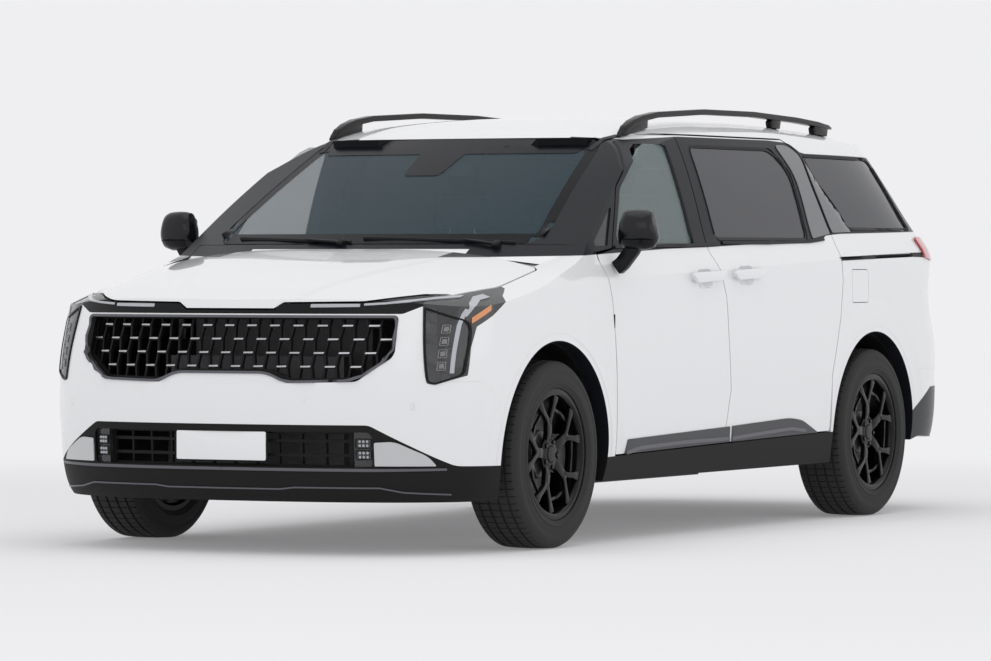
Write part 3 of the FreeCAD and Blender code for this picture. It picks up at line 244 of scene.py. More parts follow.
def surface(*nodes):
    """The faces of some CAD nodes, ready to be met by straight lines."""
    bm = bmesh.new()
    for node in nodes:
        bm.from_mesh(NODES[node].data)
    tree = BVHTree.FromBMesh(bm)
    bm.free()
    return tree


VIEWS = {
    "side": (lambda a, b, s: Vector((a, 1.5 * s, b)), lambda s: Vector((0, -s, 0))),
    "front": (lambda a, b, s: Vector((3.2, a * s, b)), lambda s: Vector((-1, 0, 0))),
    "back": (lambda a, b, s: Vector((-3.2, a * s, b)), lambda s: Vector((1, 0, 0))),
    "top": (lambda a, b, s: Vector((a, b * s, 2.4)), lambda s: Vector((0, 0, -1))),
}


def lay(tree, view, side, spots, lift=0.0):
    """Where a view's lines through flat spots meet a surface; one that misses takes the nearest depth."""
    start, way = VIEWS[view]
    depths = [tree.ray_cast(start(a, b, side), way(side))[3] for a, b in spots]
    known = [i for i, depth in enumerate(depths) if depth is not None]
    if not known:
        raise RuntimeError(f"no line of the {view} view meets the surface near {spots[0]}")
    found = []
    for i, (a, b) in enumerate(spots):
        depth = depths[i]
        if depth is None:
            depth = depths[min(known, key=lambda k: (spots[k][0] - a) ** 2 + (spots[k][1] - b) ** 2)]
        found.append(start(a, b, side) + way(side) * (depth - lift))
    return found


def soften(bm, geom, offset, segments, affect="EDGES"):
    """Rounds the given edges or corners."""
    bmesh.ops.bevel(bm, geom=geom, offset=offset, offset_type="OFFSET", segments=segments, profile=0.5,
                    affect=affect, clamp_overlap=True, material=-1)


def sharp_edges(bm, angle):
    """The edges at which two faces meet at more than an angle."""
    return [edge for edge in bm.edges if edge.is_manifold and edge.calc_face_angle(0.0) > angle]


def outwards(bm):
    """Turns the faces of closed meshes outwards."""
    bmesh.ops.recalc_face_normals(bm, faces=bm.faces[:])


def mirrored(half):
    """A whole outline from the half on one side of the middle."""
    return half + [(-point[0],) + tuple(point[1:]) for point in reversed(half)]


def box(low, high, bottom, top, radius):
    """The outline of a rectangle with round corners."""
    return [(low, bottom, radius), (high, bottom, radius), (high, top, radius), (low, top, radius)]


def flat_outline(bm, outline):
    """A flat face through points (a, b) or (a, b, corner radius), with its corners rounded."""
    verts = [bm.verts.new((point[0], point[1], 0.0)) for point in outline]
    bm.faces.new(verts)
    radii = sorted({point[2] for point in outline if len(point) > 2 and point[2] > 0})
    for radius in radii:
        corners = [vert for vert, point in zip(verts, outline) if len(point) > 2 and point[2] == radius]
        soften(bm, corners, radius, 4, "VERTICES")


def cut_cells(bm, step):
    """Cuts a flat face along a grid, so that it can follow a curved surface."""
    for axis in range(2):
        low = min(vert.co[axis] for vert in bm.verts)
        high = max(vert.co[axis] for vert in bm.verts)
        count = int((high - low) / step)
        way = Vector((1.0 - axis, float(axis), 0.0))
        for number in range(1, count + 1):
            place = way * (low + (high - low) * number / (count + 1))
            bmesh.ops.bisect_plane(bm, geom=bm.verts[:] + bm.edges[:] + bm.faces[:], dist=1e-6,
                                   plane_co=place, plane_no=way)


# The kinds of cover: thickness, height of the outer face over the surface, grid step and soft edge
COVERS = {
    "belt": (0.006, 0.001, 0.05, 0.0018),
    "bezel": (0.006, 0.0, 0.03, 0.0015),
    "corner panel": (0.006, 0.0005, 0.03, 0.002),
    "dash": (0.0075, 0.0, 0.05, 0.001),
    "fine panel": (0.003, 0.0008, 0.03, 0.001),
    "frame": (0.006, 0.001, 0.05, 0.0015),
    "frit": (0.0012, 0.0016, 0.03, 0.0),
    "grip": (0.012, 0.001, 0.05, 0.003),
    "guide": (0.004, 0.0008, 0.02, 0.001),
    "inlay": (0.004, 0.0005, 0.05, 0.0015),
    "instrument hood": (0.012, 0.0, 0.06, 0.004),
    "lamp line": (0.003, 0.011, 0.03, 0.0008),
    "light band": (0.006, 0.0015, 0.05, 0.002),
    "low lamp": (0.005, 0.0005, 0.03, 0.0008),
    "lower bar": (0.005, 0.0005, 0.04, 0.0015),
    "lower lip": (0.004, 0.0005, 0.04, 0.001),
    "outer guide": (0.004, 0.0012, 0.03, 0.001),
    "panel": (0.003, 0.0008, 0.04, 0.001),
    "plate recess": (0.006, 0.001, 0.05, 0.002),
    "rear lens": (0.006, 0.004, 0.03, 0.0015),
    "reflector": (0.005, 0.001, 0.03, 0.0015),
    "roof strip": (0.004, 0.0008, 0.03, 0.0012),
    "seal": (0.004, 0.0005, 0.05, 0.0012),
    "side lens": (0.008, 0.004, 0.03, 0.002),
    # A flat dark sheet for the sliding door's rail slot: partly the dark rail, partly painted shade of the
    # gap
    "slot": (0.001, 0.0006, 0.05, 0.0),
    "strip": (0.007, 0.001, 0.05, 0.002),
    "unit": (0.003, 0.0004, 0.02, 0.0006),
    "unit rim": (0.003, 0.0008, 0.02, 0.0006),
    "vent": (0.006, 0.0, 0.05, 0.001),
}


def skin(bm, outline, view, tree, kind, side=1.0, ring=0.0):
    """Adds a thin cover: a flat outline, laid on a surface and thickened. A ring keeps only its rim."""
    thick, lift, step, edge = COVERS[kind]
    flat = bmesh.new()
    flat_outline(flat, outline)
    flat.normal_update()
    if ring:
        found = bmesh.ops.inset_region(flat, faces=flat.faces[:], thickness=ring, use_even_offset=True,
                                      use_boundary=True)
        rim = set(found["faces"])
        bmesh.ops.delete(flat, geom=[face for face in flat.faces if face not in rim], context="FACES")
    cut_cells(flat, step)
    flat.verts.ensure_lookup_table()
    for vert, place in zip(flat.verts, lay(tree, view, side, [(v.co.x, v.co.y) for v in flat.verts], lift)):
        vert.co = place
    way = VIEWS[view][1](side)
    flat.normal_update()
    turned = [face for face in flat.faces if face.normal.dot(way) > 0]
    bmesh.ops.reverse_faces(flat, faces=turned)
    bmesh.ops.solidify(flat, geom=flat.faces[:], thickness=-thick)
    if edge:
        soften(flat, sharp_edges(flat, 1.0), edge, 1)
    join(bm, flat)


def join(bm, other):
    """Moves another mesh's faces into this one."""
    mesh = bpy.data.meshes.new("part")
    other.to_mesh(mesh)
    other.free()
    bm.from_mesh(mesh)
    bpy.data.meshes.remove(mesh)


def ribbon(points, width):
    """The outline of a band of a width along a flat path."""
    left, right = [], []
    for i, point in enumerate(points):
        before = Vector(points[max(i - 1, 0)][:2])
        after = Vector(points[min(i + 1, len(points) - 1)][:2])
        ahead = (after - before).normalized()
        wide = point[2] if len(point) > 2 else width
        off = Vector((-ahead.y, ahead.x)) * wide / 2
        left.append(tuple(Vector(point[:2]) + off))
        right.append(tuple(Vector(point[:2]) - off))
    return left + right[::-1]


def tube(bm, stations, sides=12, up=(0, 0, 1), turn=0.0):
    """A closed tube through stations (place, half width, half height)."""
    rings = []
    for i, (place, wide, tall) in enumerate(stations):
        ahead = Vector(stations[min(i + 1, len(stations) - 1)][0]) - Vector(stations[max(i - 1, 0)][0])
        ahead.normalize()
        across = Vector(up).cross(ahead).normalized()
        over = ahead.cross(across)
        frame_of = Matrix((across * wide, over * tall, ahead)).transposed().to_4x4()
        frame_of.translation = Vector(place)
        made = bmesh.ops.create_circle(bm, radius=1.0, segments=sides,
                matrix=frame_of @ Matrix.Rotation(turn, 4, "Z"))
        verts = set(made["verts"])
        rings.append([edge for vert in verts for edge in vert.link_edges if edge.other_vert(vert) in verts])
        rings[-1] = list(set(rings[-1]))
    for one, other in zip(rings, rings[1:]):
        bmesh.ops.bridge_loops(bm, edges=one + other)
    for ends in (rings[0], rings[-1]):
        bmesh.ops.contextual_create(bm, geom=ends)


def bar(bm, stations, up=(0, 0, 1), edge=0.002):
    """A squared bar through stations (place, half width, half height), with softened edges."""
    own = bmesh.new()
    root = math.sqrt(2.0)
    tube(own, [(place, wide * root, tall * root) for place, wide, tall in stations], 4, up, math.pi / 4)
    outwards(own)
    if edge:
        soften(own, sharp_edges(own, 0.6), edge, 2)
    join(bm, own)


def lathe(bm, profile, centre, steps=64, axis=(0, 1, 0)):
    """Turns a profile of (radius, distance along the axis) about a line through the centre."""
    own = bmesh.new()
    axis = Vector(axis)
    across = axis.orthogonal().normalized()
    verts = [own.verts.new(Vector(centre) + across * radius + axis * along) for radius, along in profile]
    edges = [own.edges.new(pair) for pair in zip(verts, verts[1:])]
    bmesh.ops.spin(own, geom=verts + edges, cent=centre, axis=axis, angle=math.tau, steps=steps,
                   use_merge=True)
    bmesh.ops.remove_doubles(own, verts=own.verts[:], dist=1e-6)
    outwards(own)
    join(bm, own)


def slab(bm, outline, place, across, upward, thick, edge=0.001):
    """A flat plate from an outline, standing on a place with its own two directions, with softened edges."""
    own = bmesh.new()
    flat_outline(own, outline)
    out = Vector(across).cross(Vector(upward)).normalized()
    turn = Matrix((Vector(across), Vector(upward), out)).transposed().to_4x4()
    turn.translation = Vector(place)
    grown = bmesh.ops.extrude_face_region(own, geom=own.faces[:])
    bmesh.ops.translate(own, vec=(0, 0, thick), verts=[e for e in grown["geom"] if isinstance(e,
                        bmesh.types.BMVert)])
    outwards(own)
    if edge:
        soften(own, sharp_edges(own, 1.0), edge, 2)
    bmesh.ops.transform(own, matrix=turn, verts=own.verts[:])
    join(bm, own)


class VanSizes(bpy.types.PropertyGroup):
    """Sizes and colours that a user would change."""

    paint: FloatVectorProperty(
        name="Paint", description="Colour of the body paint", subtype="COLOR", size=4,
        min=0.0, max=1.0, default=linear(238, 239, 241))
    backdrop: FloatVectorProperty(
        name="Backdrop", description="Colour of the floor and background", subtype="COLOR", size=4,
        min=0.0, max=1.0, default=linear(239, 239, 241))
    sky: FloatProperty(
        name="Sky", description="Strength of the even light from all round", default=0.8, min=0.0, max=5.0)
    softbox: FloatProperty(
        name="Softbox", description="Power of the large lamp overhead", default=80.0, min=0.0, unit="POWER")
    tread_blocks: IntProperty(
        name="Tread blocks", description="Number of blocks round each tyre", default=72, min=24, max=120)


# Operators

class MINIVAN_OT_stage(bpy.types.Operator):
    """Camera, floor, sky and soft lamps"""
    bl_idname = "minivan.stage"
    bl_label = "Stage"

    def execute(self, context):
        scene = context.scene
        sizes = scene.minivan
        scene.view_settings.view_transform = "Standard"

        data = bpy.data.cameras.new("Camera")
        data.sensor_width = SENSOR_WIDTH
        data.sensor_fit = "HORIZONTAL"
        data.lens = FOCAL_PIXELS * SENSOR_WIDTH / PHOTO_WIDTH
        data.clip_end = 200.0
        camera = bpy.data.objects.new("Camera", data)
        scene.collection.objects.link(camera)
        level = math.cos(CAMERA_PITCH)
        ahead = Vector((math.cos(CAMERA_YAW) * level, math.sin(CAMERA_YAW) * level,
                        -math.sin(CAMERA_PITCH)))
        across = ahead.cross(Vector((0, 0, 1))).normalized()
        turn = Matrix((across, across.cross(ahead), -ahead)).transposed()
        camera.matrix_world = Matrix.Translation(CAMERA_PLACE) @ turn.to_4x4()
        scene.camera = camera

        world = bpy.data.worlds.new("Sky")
        scene.world = world
        world.use_nodes = True
        tree = world.node_tree
        sky = tree.nodes["Background"]
        path = tree.nodes.new("ShaderNodeLightPath")
        seen = Wire(path.outputs["Is Camera Ray"])
        seen = seen.sum("MAXIMUM", Wire(path.outputs["Is Glossy Ray"]))
        seen = seen.sum("MAXIMUM", Wire(path.outputs["Is Transmission Ray"]))
        tree.links.new(seen.mix((1, 1, 1, 1), sizes.backdrop).socket, sky.inputs["Color"])
        tree.links.new((seen * (1.0 - sizes.sky) + sizes.sky).socket, sky.inputs["Strength"])

        shader, place, _ = finish("Floor", sizes.backdrop, 0.9, specular_ior_level=0.0)
        flat = place.node("VectorMath", {"operation": "MULTIPLY"}, {0: place, 1: (1.0, 1.0, 0.0)})
        far = flat.node("VectorMath", {"operation": "LENGTH"}, {0: flat}, out=1)
        start, end, share = FLOOR_FADE
        fade = far.node("MapRange", {"clamp": True, "interpolation_type": "SMOOTHSTEP"},
                        {0: far, 1: start, 2: end, 3: share, 4: 1.0})
        glow = shader.id_data.nodes.new("ShaderNodeEmission")
        glow.inputs["Color"].default_value = sizes.backdrop
        blend(fade, shader, glow)
        bm = bmesh.new()
        bmesh.ops.create_circle(bm, cap_ends=True, radius=80.0, segments=96)
        mesh = bpy.data.meshes.new("Floor")
        bm.to_mesh(mesh)
        bm.free()
        floor = bpy.data.objects.new("Floor", mesh)
        scene.collection.objects.link(floor)
        mesh.materials.append(MATERIALS["Floor"])

        for name, spot, aim, wide, deep, power in (
            ("Overhead", (0.6, 0.8, 7.0), (0.0, 0.0, 0.0), 8.0, 5.0, sizes.softbox),
            ("Front_box", (8.0, 2.0, 3.6), (1.5, 0.0, 0.6), 5.0, 3.0, sizes.softbox * 0.28),
            ("Side_box", (1.0, 8.5, 3.2), (0.0, 0.0, 0.8), 7.0, 2.4, sizes.softbox * 0.34),
        ):
            lamp = bpy.data.lights.new(name, "AREA")
            lamp.shape = "RECTANGLE"
            lamp.size = wide
            lamp.size_y = deep
            lamp.energy = power
            box = bpy.data.objects.new(name, lamp)
            scene.collection.objects.link(box)
            way = Vector(aim) - Vector(spot)
            box.matrix_world = Matrix.Translation(spot) @ way.to_track_quat("-Z", "Y").to_matrix().to_4x4()
        return {"FINISHED"}


class MINIVAN_OT_finishes(bpy.types.Operator):
    """All materials, and the ones of the carried-over CAD nodes"""
    bl_idname = "minivan.finishes"
    bl_label = "Finishes"

    def body_paint(self, name, colour, inside, skirt=(), behind=None, folded=False):
        """White paint with dark window frames, and a trim colour on the faces that look inwards.

        A skirt is a line in side view below which the piece is dark. Behind is how far back from a curve
        the piece is dark, as at the foot of the windscreen. Folded adds the hood's two folds."""
        shader, place, normal = finish(name, colour, 0.38, coat_weight=0.9, coat_roughness=0.04)
        x, y, z = (place.part(axis) for axis in "XYZ")
        side = y.sum("ABSOLUTE")
        belt = x.line(-2.3, 1.5, 1.0, 1.8, BELT_LINE)
        top = x.line(-2.3, 1.5, 1.0, 1.8, WINDOW_TOP)
        dark = (z - belt).over(0.0, 0.001) * (top - z).over(0.0, 0.001)
        dark = dark * side.over(0.5) * x.over(WINDOWS_END)
        if skirt:
            edge = x.line(-2.6, -1.8, 0.2, 0.7, skirt)
            dark = dark.sum("MAXIMUM", (edge - z).over(0.0, 0.001))
        if behind is not None:
            foot = side * side * -0.302 + behind
            dark = dark.sum("MAXIMUM", (foot - x).over(0.0, 0.001))
        cloud = place.noise(1.3)
        tone = cloud.mix(colour, tuple(c * 0.985 for c in colour[:3]) + (1.0,))
        grain = place.noise(900.0)
        look = (normal.part("Y") * y.sum("SIGN")).over(-0.25, 0.02)
        look = look.sum("MAXIMUM", (side * -1).over(-0.4) * normal.part("Z").over(-0.2, 0.02))
        outer = side.over(ARCH_INSIDE, 0.01)
        rise = grain * 0.0003
        for axle in AXLES.values():
            along, up = x - axle, z - WHEEL_HEIGHT
            away = (along * along + up * up).sum("SQRT")
            rise = rise + (1 - away.over(ARCH_LIP + 0.045, 0.006)) * outer * 0.005
            rise = rise + (1 - away.over(ARCH_LIP + 0.125, 0.035)) * outer * 0.009
            dark = dark.sum("MAXIMUM", (1 - away.over(ARCH_INNER, 0.0008)) * outer)
        if folded:
            fold = x.line(1.5, 2.6, 0.0, 0.8, HOOD_FOLD)
            rise = rise + (side - fold).over(0.0, 0.022) * 0.006
        feed(shader, base_color=look.mix(inside, tone),
             roughness=(1 - look).spread(0.0, 0.35) + grain.spread(0.3, 0.36),
             coat_weight=look * 0.9,
             normal=rise.bump(1.0, 1.0))
        trim = shader.id_data.nodes.new("ShaderNodeBsdfPrincipled")
        trim.inputs["Specular IOR Level"].default_value = 0.12
        feed(trim, base_color=cloud.mix(linear(27, 29, 33), linear(30, 32, 37)),
             roughness=grain.spread(0.24, 0.3))
        blend(dark, shader, trim)

    def plain(self, name, colour, roughness, scale, wobble, bump=0.0, depth=0.0005, **constants):
        """A finish whose colour, gloss and surface vary with fine grain."""
        shader, place, _ = finish(name, colour, roughness, **constants)
        grain = place.noise(scale, 3.0)
        cloud = place.noise(2.7)
        low = tuple(c * (1 - wobble) for c in colour[:3]) + (1.0,)
        high = tuple(min(1.0, c * (1 + wobble)) for c in colour[:3]) + (1.0,)
        wires = {
            "base_color": (grain * 0.5 + cloud * 0.5).mix(low, high),
            "roughness": grain.spread(roughness * 0.88, min(1.0, roughness * 1.12)),
        }
        if bump:
            wires["normal"] = grain.bump(bump, depth)
        feed(shader, **wires)

    def execute(self, context):
        sizes = context.scene.minivan
        trim = linear(74, 73, 72)
        paint = tuple(sizes.paint)
        self.body_paint("White_paint", paint, trim)
        self.body_paint("Rear_paint", paint, trim, skirt=REAR_SKIRT)
        self.body_paint("Cowl_paint", paint, linear(24, 25, 27), behind=COWL_FOOT)
        self.body_paint("Hood_paint", paint, trim, folded=True)
        self.plain("Gloss_black", linear(14, 15, 17), 0.22, 300.0, 0.08, specular_ior_level=0.2)
        self.plain("Black_plastic", linear(22, 22, 23), 0.6, 1400.0, 0.12, 0.25, specular_ior_level=0.2)
        self.plain("Grey_plastic", linear(74, 75, 78), 0.5, 1400.0, 0.1, 0.2, specular_ior_level=0.3)
        self.plain("Satin_strip", linear(96, 96, 102), 0.36, 500.0, 0.05, metallic=0.4)
        self.plain("Bright_metal", linear(186, 187, 190), 0.24, 700.0, 0.04, metallic=0.9)
        self.plain("Bare_metal", linear(118, 118, 120), 0.45, 180.0, 0.18, 0.2, metallic=0.8)
        self.plain("Cast_metal", linear(92, 92, 94), 0.6, 220.0, 0.2, 0.4, metallic=0.6)
        self.plain("Tyre_rubber", linear(46, 46, 46), 0.72, 900.0, 0.14, 0.25, specular_ior_level=0.3)
        self.plain("Wheel_black", linear(9, 9, 10), 0.24, 300.0, 0.1, specular_ior_level=0.25)
        self.plain("Front_glass", linear(150, 164, 164), 0.04, 3.0, 0.06, alpha=0.34,
                   specular_ior_level=0.4)
        self.plain("Screen_glass", linear(70, 90, 100), 0.04, 3.0, 0.08, alpha=0.34,
                   specular_ior_level=0.16)
        self.plain("Rear_glass", linear(64, 65, 70), 0.05, 2.0, 0.05, alpha=0.93, specular_ior_level=0.35)
        self.plain("Lamp_smoke", linear(62, 63, 64), 0.05, 4.0, 0.05, alpha=0.7, coat_weight=0.6,
                   coat_roughness=0.02)
        self.plain("Lamp_red", linear(190, 72, 74), 0.08, 60.0, 0.12, coat_weight=0.8, coat_roughness=0.02)
        self.plain("Lamp_unit", linear(150, 150, 152), 0.25, 80.0, 0.06, alpha=0.55, coat_weight=0.4,
                   coat_roughness=0.02)
        self.plain("Lamp_glow", linear(178, 181, 187), 0.25, 60.0, 0.04, coat_weight=0.4,
                   coat_roughness=0.02)
        self.plain("Amber", linear(214, 138, 84), 0.2, 60.0, 0.1, coat_weight=0.6, coat_roughness=0.02)
        self.plain("Silver_panel", linear(196, 197, 199), 0.32, 600.0, 0.04, metallic=0.1)
        self.plain("White_plain", paint, 0.34, 900.0, 0.015, coat_weight=0.8, coat_roughness=0.04)
        # Dark rubber of the seals, wipers and strips; also the painted shade of the sliding door's rail slots
        self.plain("Seal_and_slot_shade", linear(24, 25, 27), 0.5, 900.0, 0.1, 0.1, specular_ior_level=0.25)
        self.plain("Frit", linear(16, 18, 22), 0.2, 700.0, 0.06, specular_ior_level=0.08)
        self.plain("Mirror_black", linear(16, 17, 21), 0.16, 300.0, 0.08, specular_ior_level=0.35)
        self.plain("Mirror_glass", linear(60, 66, 74), 0.05, 300.0, 0.03, metallic=0.7)
        self.plain("Garnish", linear(92, 93, 97), 0.3, 500.0, 0.05, coat_weight=0.5, coat_roughness=0.03)
        self.plain("Carpet", linear(44, 43, 42), 0.95, 700.0, 0.3, 0.8, 0.002)
        self.plain("Cabin_plastic", linear(62, 61, 61), 0.6, 900.0, 0.12, 0.3)
        self.plain("Seat_cloth", linear(70, 68, 68), 0.8, 1200.0, 0.18, 0.5, sheen_weight=0.3)

        looks = {"Hood_paint": ["hood"], "White_paint": ["tailgate", "front_door_left", "front_door_right",
                 "sliding_doors", "fenders", "side_frames", "quarter_panels", "fuel_flap", "roof_panel",
                 "front_bumper", "number_plate"], "Rear_paint": ["rear_bumper"], "Cowl_paint": ["cowl"],
                 "Screen_glass": ["windscreen"], "Front_glass": ["front_door_glass_left",
                 "front_door_glass_right"], "Rear_glass": ["sliding_door_glass", "quarter_glass",
                 "tailgate_glass"], "Black_plastic": ["rockers", "grille", "bumper_lower", "lower_grille",
                 "arch_liners", "mirror_left", "mirror_right", "bulkhead"],
                 "Gloss_black": ["b_pillars", "roof_rails", "light_bar"],
                 "Lamp_smoke": ["head_lamps", "fog_lamps"], "Lamp_red": ["tail_lamps"],
                 "Tyre_rubber": ["tyre_front_left", "tyre_front_right", "tyre_rear_left",
                                 "tyre_rear_right"], "Wheel_black": ["rim_front_left", "rim_front_right",
                 "rim_rear_left", "rim_rear_right"], "Bare_metal": ["knuckle_left", "knuckle_right",
                 "front_suspension", "rear_axle", "subframe", "muffler"],
                 "Cast_metal": ["engine", "radiator", "fuel_tank"], "Carpet": ["floor_pan"],
                 "Cabin_plastic": ["dashboard", "console", "steering_wheel", "seat_bases"],
                 "Seat_cloth": ["seat_cushions", "seat_backs", "head_restraints"], }
        done = set()
        for material, nodes in looks.items():
            for node in nodes:
                paint_node(node, material)
                done.add(node)
        left = sorted(set(NODES) - done)
        if left:
            raise RuntimeError(f"nodes with no finish: {left}")
        return {"FINISHED"}


# The tread: its radius in the middle, and its grooves' places across the tyre and depth
TREAD_RADIUS = 0.3704
TREAD_GROOVES = (-0.066, -0.022, 0.022, 0.066)
GROOVE_DEPTH = 0.0068

# Profiles of the wheels as (radius, distance outboard); the rim's radii are counted from the rim's own radius
TYRE_SIDE = [(0.2418, 0.095), (0.256, 0.0958), (0.2595, 0.099), (0.26, 0.1085), (0.266, 0.112),
             (0.276, 0.1158), (0.279, 0.1185), (0.283, 0.1185), (0.286, 0.1163), (0.306, 0.1178),
             (0.308, 0.1172), (0.326, 0.1165), (0.328, 0.1172), (0.34, 0.115), (0.348, 0.1118),
             (0.35, 0.1112), (0.356, 0.1065), (0.361, 0.1015)]
RIM_BARREL = [(-0.013, -0.097), (-0.003, -0.1058), (0.0175, -0.1055), (0.0175, -0.0965), (0.0, -0.0965),
              (0.0, 0.0965), (0.0175, 0.0965), (0.0175, 0.1045), (0.015, 0.1058), (-0.001, 0.1058),
              (-0.004, 0.103), (-0.0075, 0.102), (-0.013, 0.095), (-0.0165, 0.07), (-0.015, 0.02),
              (-0.013, -0.097)]
WHEEL_CAP = [(0.0, 0.07), (0.064, 0.07), (0.07, 0.074), (0.0715, 0.079), (0.067, 0.0822), (0.036, 0.084),
             (0.0335, 0.0815), (0.0325, 0.0815), (0.0318, 0.085), (0.0295, 0.0872), (0.02, 0.088),
             (0.0, 0.0882)]
BOLT_SEAT = [(0.0125, 0.0845), (0.0118, 0.0812), (0.0098, 0.08), (0.0088, 0.08)]
BOLT_HEAD = [(0.0092, 0.079), (0.0092, 0.0865), (0.0078, 0.0885), (0.0, 0.0888)]
VALVE = [(0.0, 0.048), (0.0042, 0.048), (0.0042, 0.07), (0.0034, 0.072), (0.0034, 0.078), (0.0, 0.079)]
BRAKE_DISC = [(0.031, -0.002), (0.16, -0.002), (0.1615, 0.0), (0.1615, 0.004), (0.157, 0.0052), (0.1, 0.0052),
              (0.096, 0.01), (0.096, 0.045), (0.09, 0.05), (0.031, 0.05)]

# The round profile of a parking sensor, the same in front and behind
SENSOR = [(0.0145, -0.003), (0.0145, 0.0008), (0.013, 0.0012), (0.0122, 0.0002), (0.0105, 0.0002),
          (0.0095, 0.0012), (0.0, 0.0014)]


def at_corner(bm, corner, sign):
    """Moves a wheel made at the origin, outboard along +Y, to its corner."""
    axle = AXLES[corner.split("_")[0]]
    if sign < 0:
        bmesh.ops.scale(bm, vec=(1.0, -1.0, 1.0), verts=bm.verts[:])
        bmesh.ops.reverse_faces(bm, faces=bm.faces[:])
    bmesh.ops.translate(bm, vec=(axle, HALF_TRACK * sign, WHEEL_HEIGHT), verts=bm.verts[:])


class MINIVAN_OT_tyres(bpy.types.Operator):
    """Four tyres with grooves, cross cuts and ribbed sidewalls"""
    bl_idname = "minivan.tyres"
    bl_label = "Tyres"

    def execute(self, context):
        sizes = context.scene.minivan
        crown = [(-0.0985, 0.364), (-0.093, 0.3672)]
        for groove in TREAD_GROOVES:
            for off, low in ((-0.0055, 0.0), (-0.004, GROOVE_DEPTH), (0.004, GROOVE_DEPTH), (0.0055, 0.0)):
                y = groove + off
                crown.append((y, TREAD_RADIUS - 0.32 * y * y - low))
        crown += [(0.0, TREAD_RADIUS), (0.093, 0.3672), (0.0985, 0.364)]
        crown.sort()
        profile = ([(r, -y) for r, y in TYRE_SIDE] + [(r, y) for y, r in crown] + TYRE_SIDE[::-1])
        steps = 3 * sizes.tread_blocks
        for corner, sign in CORNERS:
            bm = bmesh.new()
            lathe(bm, profile + [profile[0]], (0, 0, 0), steps)
            arc = math.tau / steps
            for vert in bm.verts:
                if (vert.co.x ** 2 + vert.co.z ** 2) < 0.345 ** 2:
                    continue
                number = round(math.atan2(vert.co.z, vert.co.x) / arc)
                if number % 3 == 1:
                    vert.co.rotate(Matrix.Rotation(0.62 * arc, 3, "Y"))
            cuts = []
            for face in bm.faces:
                middle = face.calc_center_median()
                reach = math.hypot(middle.x, middle.z)
                wide = max((edge.verts[0].co - edge.verts[1].co).length for edge in face.edges
                           if abs(edge.verts[0].co.y - edge.verts[1].co.y) < 0.001)
                if reach > 0.3625 and wide < 0.6 * arc * reach and abs(middle.y) < 0.107:
                    if not (face.normal.x * middle.x + face.normal.z * middle.z) / reach < 0.5:
                        cuts.append(face)
            bmesh.ops.inset_individual(bm, faces=cuts, thickness=0.0004, depth=-0.0042)
            at_corner(bm, corner, sign)
            piece(f"tyre_tread_{corner}", bm, "Tyre_rubber", f"wheel_{corner}", 32.0,
                  [f"tyre_{corner}"])
        return {"FINISHED"}


class MINIVAN_OT_wheels(bpy.types.Operator):
    """Four gloss black wheels with forked spokes, bolts and a plain cap, and their brake discs"""
    bl_idname = "minivan.wheels"
    bl_label = "Wheels"

    def wheel(self):
        """One wheel at the origin, outboard along +Y."""
        bm = bmesh.new()
        rim = RIM_RADIUS
        lathe(bm, [(rim + out, along) for out, along in RIM_BARREL], (0, 0, 0), 96)
        for turn in range(5):
            phase = math.radians(5.0 + 72.0 * turn)

            def spot(share, angle, y):
                return Vector((share * rim * math.cos(phase + math.radians(angle)), y,
                               share * rim * math.sin(phase + math.radians(angle))))

            bar(bm, [(spot(0.2, 0, 0.07), 0.0235, 0.011), (spot(0.36, 0, 0.0795), 0.0205, 0.011),
                     (spot(0.62, 0, 0.086), 0.0178, 0.0105)], (0, 1, 0), 0.0035)
            for hand in (-1, 1):
                bar(bm, [(spot(0.5, hand * 1.5, 0.0845), 0.01, 0.01),
                         (spot(0.62, hand * 6.5, 0.0865), 0.0106, 0.01),
                         (spot(0.78, hand * 13.2, 0.089), 0.0118, 0.0095),
                         (spot(0.955, hand * 17.5, 0.0915), 0.0205, 0.009)], (0, 1, 0), 0.003)
                bar(bm, [(spot(0.745, hand * 14.0, 0.0835), 0.0075, 0.006),
                         (spot(0.735, hand * 36.5, 0.0815), 0.0066, 0.0055)], (0, 1, 0), 0.0022)
        lathe(bm, WHEEL_CAP, (0, 0, 0), 48)
        for number in range(5):
            turn = math.radians(41.0 + 72.0 * number)
            place = Vector((0.052 * math.cos(turn), 0.0, 0.052 * math.sin(turn)))
            lathe(bm, BOLT_SEAT, place, 20)
            lathe(bm, BOLT_HEAD, place, 6)
        valve = Vector((0.2235 * math.cos(0.75), 0.0, 0.2235 * math.sin(0.75)))
        lathe(bm, VALVE, valve, 12)
        return bm

    def execute(self, context):
        for corner, sign in CORNERS:
            bm = self.wheel()
            at_corner(bm, corner, sign)
            piece(f"wheel_face_{corner}", bm, "Wheel_black", f"wheel_{corner}", 35.0,
                  [f"rim_{corner}"])
            bm = bmesh.new()
            lathe(bm, BRAKE_DISC, (0, 0, 0), 64)
            at_corner(bm, corner, sign)
            piece(f"brake_disc_{corner}", bm, "Bare_metal", f"wheel_{corner}", 35.0)
        return {"FINISHED"}


